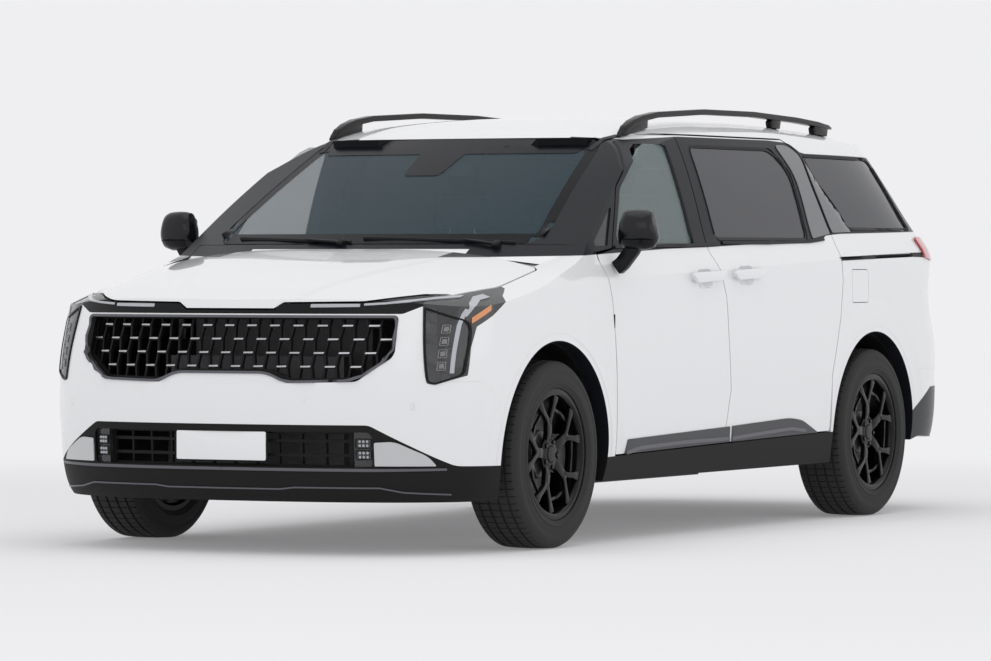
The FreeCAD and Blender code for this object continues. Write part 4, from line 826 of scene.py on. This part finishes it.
class MINIVAN_OT_grille(bpy.types.Operator):
    """Bright dashes on the grille's cells, and its frame"""
    bl_idname = "minivan.grille"
    bl_label = "Grille"

    def execute(self, context):
        lattice = surface("grille")
        bm = bmesh.new()
        for column in range(-13, 14):
            for row in range(2):
                y = column * 0.0495
                z = 0.88 - 0.052 * (column % 2) - 0.104 * row
                if abs(y) > 0.66 - 0.1 * max(0.0, 0.8 - z) / 0.14 or (abs(y) < 0.28 and z < 0.72):
                    continue
                skin(bm, [(y - 0.0215, z - 0.0035), (y + 0.0195, z - 0.0035), (y + 0.0215, z + 0.0035),
                          (y - 0.0195, z + 0.0035)], "front", lattice, "dash")
        piece("grille_dashes", bm, "Bright_metal")

        frame_line = [(0.201, 0.697, 0.03), (0.285, 0.661, 0.03), (0.565, 0.668, 0.05),
                      (0.698, 0.766, 0.05), (0.692, 0.922, 0.02)]
        bm = bmesh.new()
        skin(bm, mirrored(frame_line), "front", surface("front_bumper", "light_bar"), "frame", ring=0.01)
        piece("grille_frame", bm, "Satin_strip")
        return {"FINISHED"}


class MINIVAN_OT_lower_front(bpy.types.Operator):
    """Lamps, bars, corner panels, sensors and the plate's frame in the lower front"""
    bl_idname = "minivan.lower_front"
    bl_label = "Lower front"

    def execute(self, context):
        low = surface("bumper_lower")
        bm = bmesh.new()
        for _, side in SIDES:
            skin(bm, [(0.628, 0.346, 0.004), (0.628, 0.436, 0.006), (0.7, 0.44, 0.02), (0.808, 0.384, 0.02),
                      (0.832, 0.346, 0.006)], "front", low, "corner panel", side)
        piece("corner_panels", bm, "Silver_panel")
        bm = bmesh.new()
        for _, side in SIDES:
            line = [(0.0, 0.33, 0.012), (0.3, 0.33, 0.012), (0.62, 0.33, 0.012), (0.86, 0.333, 0.01)]
            skin(bm, ribbon(line, 0.012), "front", low, "lower bar", side)
            lip = [(0.0, 0.255), (0.25, 0.255), (0.31, 0.262), (0.64, 0.262), (0.72, 0.245), (0.86, 0.236)]
            skin(bm, ribbon(lip, 0.006), "front", low, "lower lip", side)
        piece("lower_lips", bm, "Satin_strip")

        lens = surface("fog_lamps")
        bm = bmesh.new()
        lit = bmesh.new()
        for _, side in SIDES:
            for z in (0.388, 0.432):
                skin(bm, [(0.553, z - 0.019, 0.004), (0.612, z - 0.019, 0.004), (0.614, z + 0.019, 0.004),
                          (0.553, z + 0.019, 0.004)], "front", lens, "low lamp", side, ring=0.003)
                for y in (0.569, 0.583, 0.597):
                    for tall in (-0.008, 0.008):
                        place = lay(lens, "front", side, [(y, z + tall)], 0.001)[0]
                        lathe(lit, [(0.0, -0.002), (0.005, -0.002), (0.0054, 0.0012), (0.0036, 0.003),
                                    (0.0, 0.0038)], place, 16, (1, 0, 0))
        piece("low_lamp_frames", bm, "Gloss_black")
        piece("low_lamp_lenses", lit, "Lamp_glow")

        bm = bmesh.new()
        spots = ((0.352, 0.6, 1), (0.352, 0.6, -1), (0.757, 0.575, 1), (0.757, 0.575, -1))
        skinned = surface("front_bumper")
        for y, z, side in spots:
            place = lay(skinned, "front", side, [(y, z)], 0.0)[0]
            lathe(bm, SENSOR, place, 24, (1, 0, 0))
        piece("front_sensors", bm, "White_plain")

        bm = bmesh.new()
        slab(bm, box(-0.199, 0.199, 0.3635, 0.4745, 0.006),
             (2.5612, 0, 0), (0, 1, 0), (0, 0, 1), 0.0045, 0.0012)
        piece("plate_face", bm, "White_plain", stands_for=["number_plate"])
        bm = bmesh.new()
        slab(bm, box(-0.205, 0.205, 0.357, 0.481, 0.01), (2.554, 0, 0), (0, 1, 0), (0, 0, 1), 0.0065,
             0.0015)
        piece("plate_holder", bm, "Black_plastic")
        return {"FINISHED"}


class MINIVAN_OT_head_lamps(bpy.types.Operator):
    """Stacked lamp units, light guides, amber markers and bezels in the front corners"""
    bl_idname = "minivan.head_lamps"
    bl_label = "Head lamps"

    def execute(self, context):
        lens = surface("head_lamps")
        wide = surface("head_lamps", "light_bar", "hood", "front_bumper")
        units, guides, amber, bezel = bmesh.new(), bmesh.new(), bmesh.new(), bmesh.new()
        for _, side in SIDES:
            for z in (0.728, 0.775, 0.822, 0.869):
                skin(units, [(0.835, z - 0.017, 0.003), (0.862, z - 0.016, 0.003),
                             (0.861, z + 0.017, 0.003), (0.836, z + 0.016, 0.003)], "front", lens,
                     "unit rim", side, ring=0.0028)
                skin(units, [(0.841, z - 0.01, 0.003), (0.857, z - 0.009, 0.003), (0.856, z + 0.01, 0.003),
                             (0.842, z + 0.009, 0.003)], "front", lens, "unit", side)
            guide = [(0.879, 0.7), (0.88, 0.8), (0.882, 0.885), (0.889, 0.925), (0.896, 0.944)]
            skin(guides, ribbon(guide, 0.012), "front", lens, "guide", side)
            upper = [(2.24, 0.918), (2.2, 0.958), (2.13, 0.984), (2.07, 0.994)]
            skin(guides, ribbon(upper, 0.012), "side", lens, "guide", side)
            strip = [(0.35, 0.957, 0.013), (0.45, 0.958, 0.013), (0.545, 0.959, 0.012)]
            skin(guides, ribbon(strip, 0.013), "front", wide, "outer guide", side)
            outer = [(0.56, 0.962), (0.64, 0.967), (0.72, 0.975), (0.78, 0.985), (0.84, 0.992)]
            skin(guides, ribbon(outer, 0.008), "front", wide, "outer guide", side)
            skin(amber, [(2.2225, 0.889, 0.004), (2.218, 0.912, 0.004), (2.16, 0.944, 0.006),
                         (2.124, 0.962, 0.004), (2.128, 0.94, 0.004)], "side", lens, "guide", side)
            rim = [(0.804, 0.69, 0.012), (0.81, 0.664, 0.01), (0.835, 0.658, 0.01), (0.912, 0.692, 0.02),
                   (0.918, 0.8, 0.02), (0.915, 0.87, 0.02), (0.905, 0.9, 0.02), (0.77, 0.953, 0.006)]
            skin(bezel, rim, "front", lens, "bezel", side, ring=0.006)
        piece("lamp_units", units, "Lamp_unit")
        piece("light_guides", guides, "Lamp_glow")
        piece("amber_markers", amber, "Amber")
        piece("lamp_bezels", bezel, "Gloss_black")
        return {"FINISHED"}


# Outlines of the window openings in side view as (x, z, corner radius)
SLIDE_PANE = [(0.076, 1.214, 0.03), (0.09, 1.618, 0.045), (-0.745, 1.618, 0.07), (-0.868, 1.512, 0.06),
              (-0.85, 1.214, 0.045)]
QUARTER_PANE = [(-1.303, 1.262, 0.03), (-1.262, 1.332, 0.08), (-1.092, 1.495, 0.12), (-1.056, 1.596, 0.03),
                (-1.88, 1.592, 0.08), (-2.04, 1.264, 0.03)]


class MINIVAN_OT_side_trims(bpy.types.Operator):
    """Window seals, belt strips, the rear pillars' panels, lower inlays with their strips, and the rail slots
    as flat dark strips: the dark rail with the gap's shade painted in
    """
    bl_idname = "minivan.side_trims"
    bl_label = "Side trims"

    def execute(self, context):
        fixed = surface("sliding_doors", "sliding_door_glass", "quarter_panels", "quarter_glass",
                        "side_frames", "fenders")
        seals, panels, inlays, strips, slots = (bmesh.new() for _ in range(5))
        for name, side in SIDES:
            door = surface(f"front_door_{name}", f"front_door_glass_{name}")
            for pane in (SLIDE_PANE, QUARTER_PANE):
                skin(seals, pane, "side", fixed, "seal", side, ring=0.012)
            belt = [(0.03, 1.206), (-0.4, 1.206), (-0.84, 1.213), (-1.0, 1.224)]
            skin(seals, ribbon(belt, 0.014), "side", fixed, "belt", side)
            skin(panels, [(-0.888, 1.226, 0.01), (-0.9, 1.5, 0.05), (-0.8, 1.632, 0.03),
                          (-0.94, 1.632, 0.04), (-1.026, 1.585, 0.03), (-1.03, 1.45, 0.05),
                          (-1.084, 1.248, 0.01)], "side", fixed, "panel", side)
            skin(panels, [(-1.113, 1.252, 0.01), (-1.056, 1.46, 0.05), (-1.05, 1.59, 0.02),
                          (-1.1, 1.498, 0.1), (-1.275, 1.33, 0.08), (-1.312, 1.256, 0.01)], "side", fixed,
                 "fine panel", side)
            skin(inlays, [(0.03, 0.372, 0.004), (0.03, 0.438, 0.004), (-0.547, 0.457, 0.05),
                          (-0.672, 0.444, 0.03), (-0.84, 0.386, 0.01)], "side", fixed, "inlay", side)
            skin(strips, ribbon([(0.03, 0.386), (-0.3, 0.4), (-0.56, 0.41), (-0.705, 0.398)], 0.016),
                 "side", fixed, "strip", side)
            # The rail slots: flat dark strips in the seals' colour, partly the dark rail and partly painted
            # shade of the gap
            skin(slots, [(-1.086, 1.146), (-1.89, 1.166), (-2.045, 1.168), (-2.055, 1.146), (-1.904, 1.148),
                         (-1.102, 1.13)], "side", fixed, "slot", side)
            own_seals, own_inlay, own_strip = bmesh.new(), bmesh.new(), bmesh.new()
            skin(own_seals, ribbon([(0.296, 1.205), (0.307, 1.61)], 0.013), "side", door, "seal", side)
            skin(own_seals, ribbon([(1.03, 1.186), (0.6, 1.192), (0.29, 1.194), (0.06, 1.2)], 0.014),
                 "side", door, "belt", side)
            skin(own_inlay, [(1.05, 0.354, 0.004), (1.026, 0.412, 0.008), (0.052, 0.437, 0.004),
                             (0.052, 0.372, 0.004)], "side", door, "inlay", side)
            skin(own_strip, ribbon([(1.036, 0.358), (0.906, 0.374), (0.5, 0.384), (0.055, 0.386)], 0.016),
                 "side", door, "strip", side)
            body = DOORS[name]
            piece(f"door_seals_{name}", own_seals, "Seal_and_slot_shade", body)
            piece(f"door_inlay_{name}", own_inlay, "Grey_plastic", body)
            piece(f"door_strip_{name}", own_strip, "Satin_strip", body)
        piece("window_seals", seals, "Seal_and_slot_shade")
        piece("pillar_panels", panels, "Garnish")
        piece("side_inlays", inlays, "Grey_plastic")
        piece("side_strips", strips, "Satin_strip")
        piece("rail_slot_shade", slots, "Seal_and_slot_shade")
        return {"FINISHED"}


class MINIVAN_OT_handles(bpy.types.Operator):
    """Outer handles of the front and sliding doors"""
    bl_idname = "minivan.handles"
    bl_label = "Handles"

    def handle(self, bm, tree, side, x0, x1, z, slope=0.008):
        """A blade between two short feet, seen from the side."""
        outline = [(x1, z + 0.006, 0.008), (x1 - 0.016, z + 0.0195, 0.008),
                   (x0 + 0.006, z + 0.0205 + slope, 0.01), (x0, z - 0.006 + slope, 0.008),
                   (x0 + 0.01, z - 0.02 + slope, 0.012), (x1 - 0.04, z - 0.0225, 0.014)]
        if side > 0:
            outline = [(-a, b, r) for a, b, r in outline]
        out = lay(tree, "side", side, [(x1 - 0.012, z + 0.03), (x0 + 0.012, z + 0.03)], 0.0)
        depth = max(place.y * side for place in out)
        slab(bm, outline, (0, (depth + 0.016) * side, 0), (-side, 0, 0), (0, 0, 1), 0.015, 0.0045)
        for x in (x0 + 0.03, x1 - 0.038):
            bar(bm, [((x, (depth - 0.014) * side, z), 0.012, 0.01),
                     ((x, (depth + 0.018) * side, z), 0.014, 0.011)], (0, 0, 1), 0.003)

    def execute(self, context):
        for name, side in SIDES:
            bm = bmesh.new()
            self.handle(bm, surface(f"front_door_{name}"), side, 0.133, 0.44, 1.062)
            piece(f"front_handle_{name}", bm, "White_plain", DOORS[name])
        bm = bmesh.new()
        slide = surface("sliding_doors")
        for _, side in SIDES:
            self.handle(bm, slide, side, -0.268, 0.041, 1.072)
        piece("sliding_door_handles", bm, "White_plain")
        return {"FINISHED"}


# Sections of the outer mirrors as (y, half width, half height, z)
MIRROR_SHELL = [(0.998, 0.026, 0.046, 1.258), (1.002, 0.04, 0.064, 1.257), (1.012, 0.049, 0.074, 1.256),
                (1.035, 0.0545, 0.079, 1.256), (1.065, 0.056, 0.0805, 1.256), (1.095, 0.055, 0.0795, 1.256),
                (1.118, 0.052, 0.076, 1.257), (1.134, 0.046, 0.069, 1.258), (1.143, 0.036, 0.056, 1.259),
                (1.1465, 0.022, 0.036, 1.26)]
MIRROR_BAND = [(1.003, 0.04, 0.048, 1.256), (1.03, 0.0555, 0.0655, 1.256), (1.1, 0.057, 0.067, 1.256),
               (1.132, 0.048, 0.058, 1.257), (1.144, 0.034, 0.043, 1.258)]


class MINIVAN_OT_mirrors(bpy.types.Operator):
    """Outer mirrors with their feet, lower shells and glass"""
    bl_idname = "minivan.mirrors"
    bl_label = "Mirrors"

    def execute(self, context):
        for name, side in SIDES:
            bm = bmesh.new()
            own = bmesh.new()
            tube(own, [((1.096 - 0.1 * max(0.0, y - 1.05), y * side, z), wide, tall) for y, wide, tall,
                       z in MIRROR_SHELL], 40, (0, 0, 1))
            for vert in own.verts:
                if vert.co.x < 1.056:
                    vert.co.x = 1.056 - (1.056 - vert.co.x) * 0.25
            outwards(own)
            join(bm, own)
            piece(f"mirror_shell_{name}", bm, "Mirror_black", DOORS[name], 50.0,
                  [f"mirror_{name}"])
            bm = bmesh.new()
            bar(bm, [((1.093, 0.974 * side, 1.1), 0.03, 0.02), ((1.093, 1.0 * side, 1.12), 0.03, 0.019),
                     ((1.092, 1.045 * side, 1.175), 0.03, 0.019), ((1.092, 1.06 * side, 1.196), 0.028,
                     0.018)], (1, 0, 0), 0.006)
            band = bmesh.new()
            tube(band, [((1.095 - 0.1 * max(0.0, y - 1.05), y * side, z - 0.016), wide, tall) for y, wide,
                        tall, z in MIRROR_BAND], 32, (0, 0, 1))
            for vert in band.verts:
                if vert.co.x < 1.06:
                    vert.co.x = 1.06
                if vert.co.z > 1.215:
                    vert.co.z = 1.215
            bmesh.ops.remove_doubles(band, verts=band.verts[:], dist=1e-5)
            outwards(band)
            join(bm, band)
            piece(f"mirror_foot_{name}", bm, "Gloss_black", DOORS[name])
            bm = bmesh.new()
            outline = [(-0.06, -0.056, 0.02), (0.062, -0.06, 0.024), (0.066, 0.05, 0.026),
                       (-0.058, 0.052, 0.022)]
            slab(bm, outline, (1.049, 1.07 * side, 1.262), (0, -1, 0), (0, 0, 1), -0.003, 0.001)
            piece(f"mirror_glass_{name}", bm, "Mirror_glass", DOORS[name])
        return {"FINISHED"}


class MINIVAN_OT_screen(bpy.types.Operator):
    """The windscreen's dark border and sensor block, the wipers and the roof's corner strips"""
    bl_idname = "minivan.screen"
    bl_label = "Screen and wipers"

    def execute(self, context):
        glass = surface("windscreen")
        bm = bmesh.new()
        skin(bm, mirrored([(0.766, 1.198, 0.07), (0.65, 1.638, 0.07)]), "front", glass, "frit", ring=0.04)
        skin(bm, mirrored([(0.6, 1.572, 0.03), (0.6, 1.606, 0.01)]), "front", glass, "frit")
        skin(bm, mirrored([(0.085, 1.48, 0.02), (0.105, 1.574)]), "front", glass, "frit")
        piece("screen_border", bm, "Frit")

        wiped = surface("windscreen", "cowl", "side_frames")
        bm = bmesh.new()
        for path, post in (([(0.66, 1.204), (0.4, 1.213), (0.02, 1.222)], (0.6, 1.197)),
                           ([(-0.02, 1.205), (-0.3, 1.214), (-0.62, 1.222)], (-0.06, 1.205))):
            places = lay(wiped, "front", 1.0, path, 0.016)
            tube(bm, [(place, 0.004, 0.007) for place in places], 8)
            places = lay(wiped, "front", 1.0, [post, (path[1][0] + 0.06, path[1][1] + 0.003)], 0.03)
            tube(bm, [(places[0], 0.01, 0.008), (places[1], 0.007, 0.005)], 8)
            lathe(bm, [(0.0, -0.02), (0.018, -0.02), (0.018, 0.008), (0.012, 0.014), (0.0, 0.014)],
                  places[0], 20, (0.6, 0, 0.8))
        outwards(bm)
        piece("wipers", bm, "Seal_and_slot_shade")

        roof = surface("roof_panel", "side_frames", "windscreen", "front_door_left", "front_door_right")
        bm = bmesh.new()
        for _, side in SIDES:
            path = [(0.66, 0.632), (0.6, 0.64), (0.545, 0.65), (0.5, 0.662), (0.47, 0.667)]
            skin(bm, ribbon(path, 0.026), "top", roof, "roof strip", side)
        piece("roof_corner_strips", bm, "Seal_and_slot_shade")
        return {"FINISHED"}


class MINIVAN_OT_rear(bpy.types.Operator):
    """Wrapped rear lamps, the tailgate's lamps, wiper, grip and plate recess, reflectors and sensors"""
    bl_idname = "minivan.rear"
    bl_label = "Rear"

    def execute(self, context):
        corner = surface("quarter_panels", "tail_lamps")
        rear = surface("tailgate", "tailgate_glass", "tail_lamps", "quarter_panels")
        gate = surface("tailgate", "tailgate_glass")
        bumper = surface("rear_bumper")
        lamps, lines = bmesh.new(), bmesh.new()
        for _, side in SIDES:
            skin(lamps, [(-2.02, 1.234, 0.012), (-2.058, 1.146, 0.008), (-2.33, 1.122, 0.02),
                         (-2.395, 1.15, 0.02), (-2.36, 1.216, 0.03), (-2.2, 1.236, 0.03)], "side", corner,
                 "side lens", side)
            skin(lamps, [(0.69, 1.118, 0.01), (0.69, 1.222, 0.01), (0.845, 1.228, 0.03),
                         (0.87, 1.118, 0.02)], "back", rear, "rear lens", side)
            for z in (1.14, 1.17, 1.2):
                skin(lines, ribbon([(0.7, z), (0.78, z), (0.85, z - 0.002)], 0.008), "back", rear,
                     "lamp line", side)
        piece("tail_lamp_lenses", lamps, "Lamp_red")
        piece("tail_lamp_lines", lines, "Lamp_glow")

        band, trims = bmesh.new(), bmesh.new()
        skin(band, mirrored([(-0.66, 1.132, 0.006), (-0.66, 1.166, 0.006)]), "back", gate, "light band")
        skin(band, mirrored([(-0.21, 1.605, 0.006), (-0.205, 1.622, 0.006)]), "back", gate, "frame")
        piece("tailgate_lamps", band, "Lamp_red", DOORS["gate"])
        skin(trims, mirrored([(-0.29, 0.842, 0.02), (-0.27, 0.99, 0.02)]), "back", gate, "plate recess",
             ring=0.016)
        skin(trims, mirrored([(-0.24, 0.992, 0.006), (-0.24, 1.022, 0.008)]), "back", gate, "grip")
        pivot = lay(gate, "back", 1.0, [(0.0, 1.235)], 0.012)[0]
        tip = lay(gate, "back", 1.0, [(-0.18, 1.262), (-0.36, 1.275)], 0.012)
        lathe(trims, [(0.0, -0.014), (0.022, -0.014), (0.022, 0.004), (0.015, 0.01), (0.0, 0.01)], pivot,
              24, (-1, 0, 0))
        tube(trims, [(pivot, 0.011, 0.008), (tip[0], 0.007, 0.006), (tip[1], 0.004, 0.008)], 8)
        outwards(trims)
        piece("tailgate_trims", trims, "Black_plastic", DOORS["gate"])

        low, red = bmesh.new(), bmesh.new()
        for _, side in SIDES:
            skin(red, [(0.6, 0.405, 0.006), (0.6, 0.43, 0.006), (0.8, 0.436, 0.008), (0.806, 0.411, 0.008)],
                 "back", bumper, "reflector", side)
            for y in (0.3, 0.7):
                place = lay(bumper, "back", side, [(y, 0.5)], 0.0)[0]
                lathe(low, SENSOR, place, 24, (-1, 0, 0))
        piece("rear_reflectors", red, "Lamp_red")
        piece("rear_sensors", low, "White_plain")
        return {"FINISHED"}


class MINIVAN_OT_roof_rails(bpy.types.Operator):
    """The roof rails with tapered ends, their feet and pads"""
    bl_idname = "minivan.roof_rails"
    bl_label = "Roof rails"

    def execute(self, context):
        roof = surface("roof_panel", "side_frames", "quarter_panels")
        bm = bmesh.new()
        for _, side in SIDES:
            def station(x, rise, wide, tall):
                spot = lay(roof, "top", side, [(x, 0.682)])[0]
                return (spot + Vector((0, 0, rise * 1.12)), wide, tall)

            bar(bm, [station(*place) for place in ((0.497, 0.005, 0.009, 0.003),
                     (0.47, 0.014, 0.014, 0.008), (0.43, 0.026, 0.017, 0.012), (0.38, 0.036, 0.019, 0.0135),
                     (0.3, 0.043, 0.02, 0.013), (0.15, 0.045, 0.02, 0.0125), (-0.3, 0.046, 0.02, 0.012),
                     (-0.8, 0.046, 0.02, 0.012), (-1.25, 0.045, 0.02, 0.012), (-1.48, 0.043, 0.019, 0.011),
                     (-1.6, 0.04, 0.016, 0.009), (-1.642, 0.037, 0.01, 0.005))], (0, 0, 1), 0.004)
            for first, last in ((0.46, 0.24), (-0.985, -1.085), (-1.44, -1.59)):
                bar(bm, [station(first, 0.012, 0.013, 0.014), station(first - 0.02, 0.02, 0.015, 0.02),
                         station(last + 0.015, 0.02, 0.015, 0.02), station(last, 0.016, 0.013, 0.018)],
                    (0, 0, 1), 0.003)
        piece("roof_rail_bars", bm, "Gloss_black", stands_for=["roof_rails"])
        return {"FINISHED"}


# The seats: for how many frames the cloth runs, and its pressure
CLOTH_FRAMES = 20
CLOTH_PRESSURE = 4.0


def stuffed(bm, cap, voxel):
    """A padded form: remeshed, then swollen by a short run of cloth; no point moves further than the cap."""
    mesh = bpy.data.meshes.new("stuffing")
    bm.to_mesh(mesh)
    bm.free()
    made = bpy.data.objects.new("stuffing", mesh)
    scene = bpy.context.scene
    scene.collection.objects.link(made)
    remesh = made.modifiers.new("Remesh", "REMESH")
    remesh.mode = "VOXEL"
    remesh.voxel_size = voxel

    def baked():
        graph = bpy.context.evaluated_depsgraph_get()
        return bpy.data.meshes.new_from_object(made.evaluated_get(graph))

    made.data = baked()
    made.modifiers.clear()
    rest = [vert.co.copy() for vert in made.data.vertices]
    cloth = made.modifiers.new("Cloth", "CLOTH")
    cloth.settings.use_pressure = True
    cloth.settings.uniform_pressure_force = CLOTH_PRESSURE
    cloth.settings.effector_weights.gravity = 0.0
    cloth.settings.quality = 4
    for number in range(1, CLOTH_FRAMES + 1):
        scene.frame_set(number)
    swollen = baked()
    made.modifiers.clear()
    scene.frame_set(1)
    for vert, old, new in zip(made.data.vertices, rest, swollen.vertices):
        move = new.co - old
        vert.co = old + move * min(1.0, cap / max(move.length, 1e-9))
    bpy.data.meshes.remove(swollen)
    out = bmesh.new()
    out.from_mesh(made.data)
    bpy.data.objects.remove(made)
    for _ in range(2):
        bmesh.ops.smooth_vert(out, verts=out.verts[:], factor=0.5, use_axis_x=True, use_axis_y=True,
                              use_axis_z=True)
    return out


def sew(bm, lines, depth, wide=0.009):
    """Sinks sewn channels: each line is (axis, place, test), where the test picks the points it may sink."""
    bm.normal_update()
    moves = {}
    for axis, place, test in lines:
        for vert in bm.verts:
            off = abs(vert.co[axis] - place) / wide
            if off < 1.0 and test(vert):
                moves[vert] = max(moves.get(vert, 0.0), depth * (1.0 - off * off) ** 2)
    for vert, by in moves.items():
        vert.co -= vert.normal * by


class MINIVAN_OT_seats(bpy.types.Operator):
    """Padded seats and head restraints with sewn channels"""
    bl_idname = "minivan.seats"
    bl_label = "Seats"

    def padded(self, name, bm, node):
        """A padded piece, smoothed by one level of subdivision."""
        made = piece(name, bm, "Seat_cloth", smooth=60.0, stands_for=[node])
        soft = made.modifiers.new("Subdivision", "SUBSURF")
        soft.levels = soft.render_levels = 1

    def seat(self, tag, shift, y0, y1, voxel):
        middle, half = (y0 + y1) / 2, (y1 - y0) / 2
        low = [(shift - 0.03, 0.492, 0.02), (shift + 0.425, 0.492, 0.06), (shift + 0.474, 0.53, 0.04),
               (shift + 0.474, 0.622, 0.05), (shift + 0.06, 0.6, 0.05), (shift - 0.028, 0.602, 0.02)]
        bm = bmesh.new()
        slab(bm, low, (0, y1 - 0.012, 0), (1, 0, 0), (0, 0, 1), 2 * half - 0.024, 0.028)
        bm = stuffed(bm, 0.009, voxel)
        seams = [(1, middle + off, lambda vert: vert.normal.z > 0.4) for off in (-half * 0.6, half * 0.6)]
        seams += [(0, shift + reach,
                   lambda vert: vert.normal.z > 0.4 and abs(vert.co.y - middle) < half * 0.6)
                  for reach in (0.1, 0.22, 0.34)]
        sew(bm, seams, 0.007)
        self.padded(f"cushion_{tag}", bm, "seat_cushions")
        back = [(shift - 0.056, 0.508, 0.03), (shift - 0.058, 0.61, 0.2), (shift - 0.2, 1.225, 0.05),
                (shift - 0.3, 1.225, 0.04), (shift - 0.172, 0.512, 0.03)]
        bm = bmesh.new()
        slab(bm, back, (0, y1 - 0.022, 0), (1, 0, 0), (0, 0, 1), 2 * half - 0.044, 0.028)
        bm = stuffed(bm, 0.009, voxel)
        seams = [(1, middle + off, lambda vert: vert.normal.x > 0.4) for off in (-half * 0.55, half * 0.55)]
        seams += [(2, tall, lambda vert: vert.normal.x > 0.4 and abs(vert.co.y - middle) < half * 0.55)
                  for tall in (0.78, 0.92, 1.06)]
        sew(bm, seams, 0.007)
        self.padded(f"back_{tag}", bm, "seat_backs")
        head = [(shift - 0.222, 1.272, 0.02), (shift - 0.234, 1.412, 0.03), (shift - 0.298, 1.416, 0.03),
                (shift - 0.308, 1.272, 0.02)]
        bm = bmesh.new()
        slab(bm, head, (0, middle + 0.12, 0), (1, 0, 0), (0, 0, 1), 0.24, 0.022)
        bm = stuffed(bm, 0.006, voxel)
        sew(bm, [(1, middle + off, lambda vert: vert.normal.x > 0.3) for off in (-0.07, 0.07)], 0.004)
        self.padded(f"head_{tag}", bm, "head_restraints")

    def execute(self, context):
        posts = bmesh.new()
        for tag, shift, y0, y1 in (("front_left", 0.09, 0.14, 0.66), ("front_right", 0.09, -0.66, -0.14),
                                   ("middle_left", -0.81, 0.14, 0.66), ("middle_right", -0.81, -0.66,
                                   -0.14), ("rear_bench", -1.64, -0.6, 0.6)):
            self.seat(tag, shift, y0, y1, 0.011 if tag != "rear_bench" else 0.015)
            for off in (-0.06, 0.06):
                lathe(posts, [(0.0, 1.236), (0.006, 1.236), (0.006, 1.276), (0.0, 1.276)],
                      (shift - 0.2565, (y0 + y1) / 2 + off, 0.0), 16, (0, 0, 1))
        piece("head_posts", posts, "Bright_metal")
        return {"FINISHED"}


class MINIVAN_OT_cabin(bpy.types.Operator):
    """Steering wheel, instrument hood, screens, vents and the inner mirror"""
    bl_idname = "minivan.cabin"
    bl_label = "Cabin"

    def execute(self, context):
        bm = bmesh.new()
        tilt = Matrix.Rotation(math.radians(-62), 4, "Y")
        tilt.translation = Vector((0.64, 0.4, 1.01))
        ring = [(0.169 + 0.0165 * math.cos(a),
                 0.0145 * math.sin(a)) for a in [math.tau * i / 14 for i in range(14)]]
        lathe(bm, ring + [ring[0]], (0, 0, 0), 64, (0, 0, 1))
        lathe(bm, [(0.0, -0.034), (0.05, -0.034), (0.062, -0.026), (0.066, -0.01), (0.06, 0.002),
                   (0.03, 0.008), (0.0, 0.009)], (0, 0, 0), 40, (0, 0, 1))
        for way in ((0, 1), (0, -1), (-1, 0)):
            bar(bm, [((way[0] * 0.05, way[1] * 0.05, -0.012), 0.02, 0.007),
                     ((way[0] * 0.105, way[1] * 0.105, -0.008), 0.014, 0.006),
                     ((way[0] * 0.162, way[1] * 0.162, -0.002), 0.018, 0.006)], (0, 0, 1), 0.003)
        bar(bm, [((0, 0, -0.03), 0.03, 0.024), ((0, 0, -0.18), 0.034, 0.028), ((0, 0, -0.28), 0.036, 0.03)],
            (0, 1, 0), 0.008)
        bmesh.ops.transform(bm, matrix=tilt, verts=bm.verts[:])
        piece("steering_wheel_dressed", bm, "Cabin_plastic", stands_for=["steering_wheel"])

        dash = surface("dashboard")
        bm = bmesh.new()
        skin(bm, [(0.88, 0.66, 0.02), (0.88, -0.02, 0.03), (0.98, -0.05, 0.02), (0.98, 0.68, 0.02)], "top",
             dash, "instrument hood")
        for y in (0.7, 0.06, -0.1, -0.68):
            skin(bm, box(y - 0.055, y + 0.055, 0.985, 1.02, 0.01), "back", dash, "vent", ring=0.006)
        piece("dash_trims", bm, "Gloss_black")
        bm = bmesh.new()
        slab(bm, box(-0.52, 0.12, 1.05, 1.138, 0.012), (0.9, 0.02, 0), (0, -1, 0), (0, 0, 1), 0.012, 0.003)
        piece("dash_screens", bm, "Mirror_glass")
        bm = bmesh.new()
        slab(bm, box(-0.115, 0.115, -0.028, 0.034, 0.02),
             (0.705, 0.0, 1.512), (0, -1, 0), (-0.15, 0, 1), -0.016, 0.005)
        bar(bm, [((0.712, 0.0, 1.53), 0.014, 0.01), ((0.748, 0.0, 1.56), 0.016, 0.012)], (0, 1, 0), 0.003)
        piece("inner_mirror", bm, "Cabin_plastic")
        return {"FINISHED"}


class MINIVAN_PT_panel(bpy.types.Panel):
    """Lists the makers of the minivan's pieces"""
    bl_idname = "MINIVAN_PT_panel"
    bl_label = "Minivan"
    bl_space_type = "VIEW_3D"
    bl_region_type = "UI"
    bl_category = "Minivan"

    def draw(self, context):
        for operator in OPERATORS:
            self.layout.operator(operator.bl_idname)
        for key in VanSizes.__annotations__:
            self.layout.prop(context.scene.minivan, key)


OPERATORS = (
    MINIVAN_OT_stage,
    MINIVAN_OT_finishes,
    MINIVAN_OT_tyres,
    MINIVAN_OT_wheels,
    MINIVAN_OT_grille,
    MINIVAN_OT_lower_front,
    MINIVAN_OT_head_lamps,
    MINIVAN_OT_side_trims,
    MINIVAN_OT_handles,
    MINIVAN_OT_mirrors,
    MINIVAN_OT_screen,
    MINIVAN_OT_rear,
    MINIVAN_OT_roof_rails,
    MINIVAN_OT_seats,
    MINIVAN_OT_cabin,
)


def register():
    for kind in (VanSizes,) + OPERATORS + (MINIVAN_PT_panel,):
        bpy.utils.register_class(kind)
    bpy.types.Scene.minivan = PointerProperty(type=VanSizes)


def unregister():
    del bpy.types.Scene.minivan
    for kind in reversed((VanSizes,) + OPERATORS + (MINIVAN_PT_panel,)):
        bpy.utils.unregister_class(kind)


def main():
    register()
    for operator in OPERATORS:
        group, name = operator.bl_idname.split(".")
        getattr(getattr(bpy.ops, group), name)()


if __name__ == "__main__":
    main()
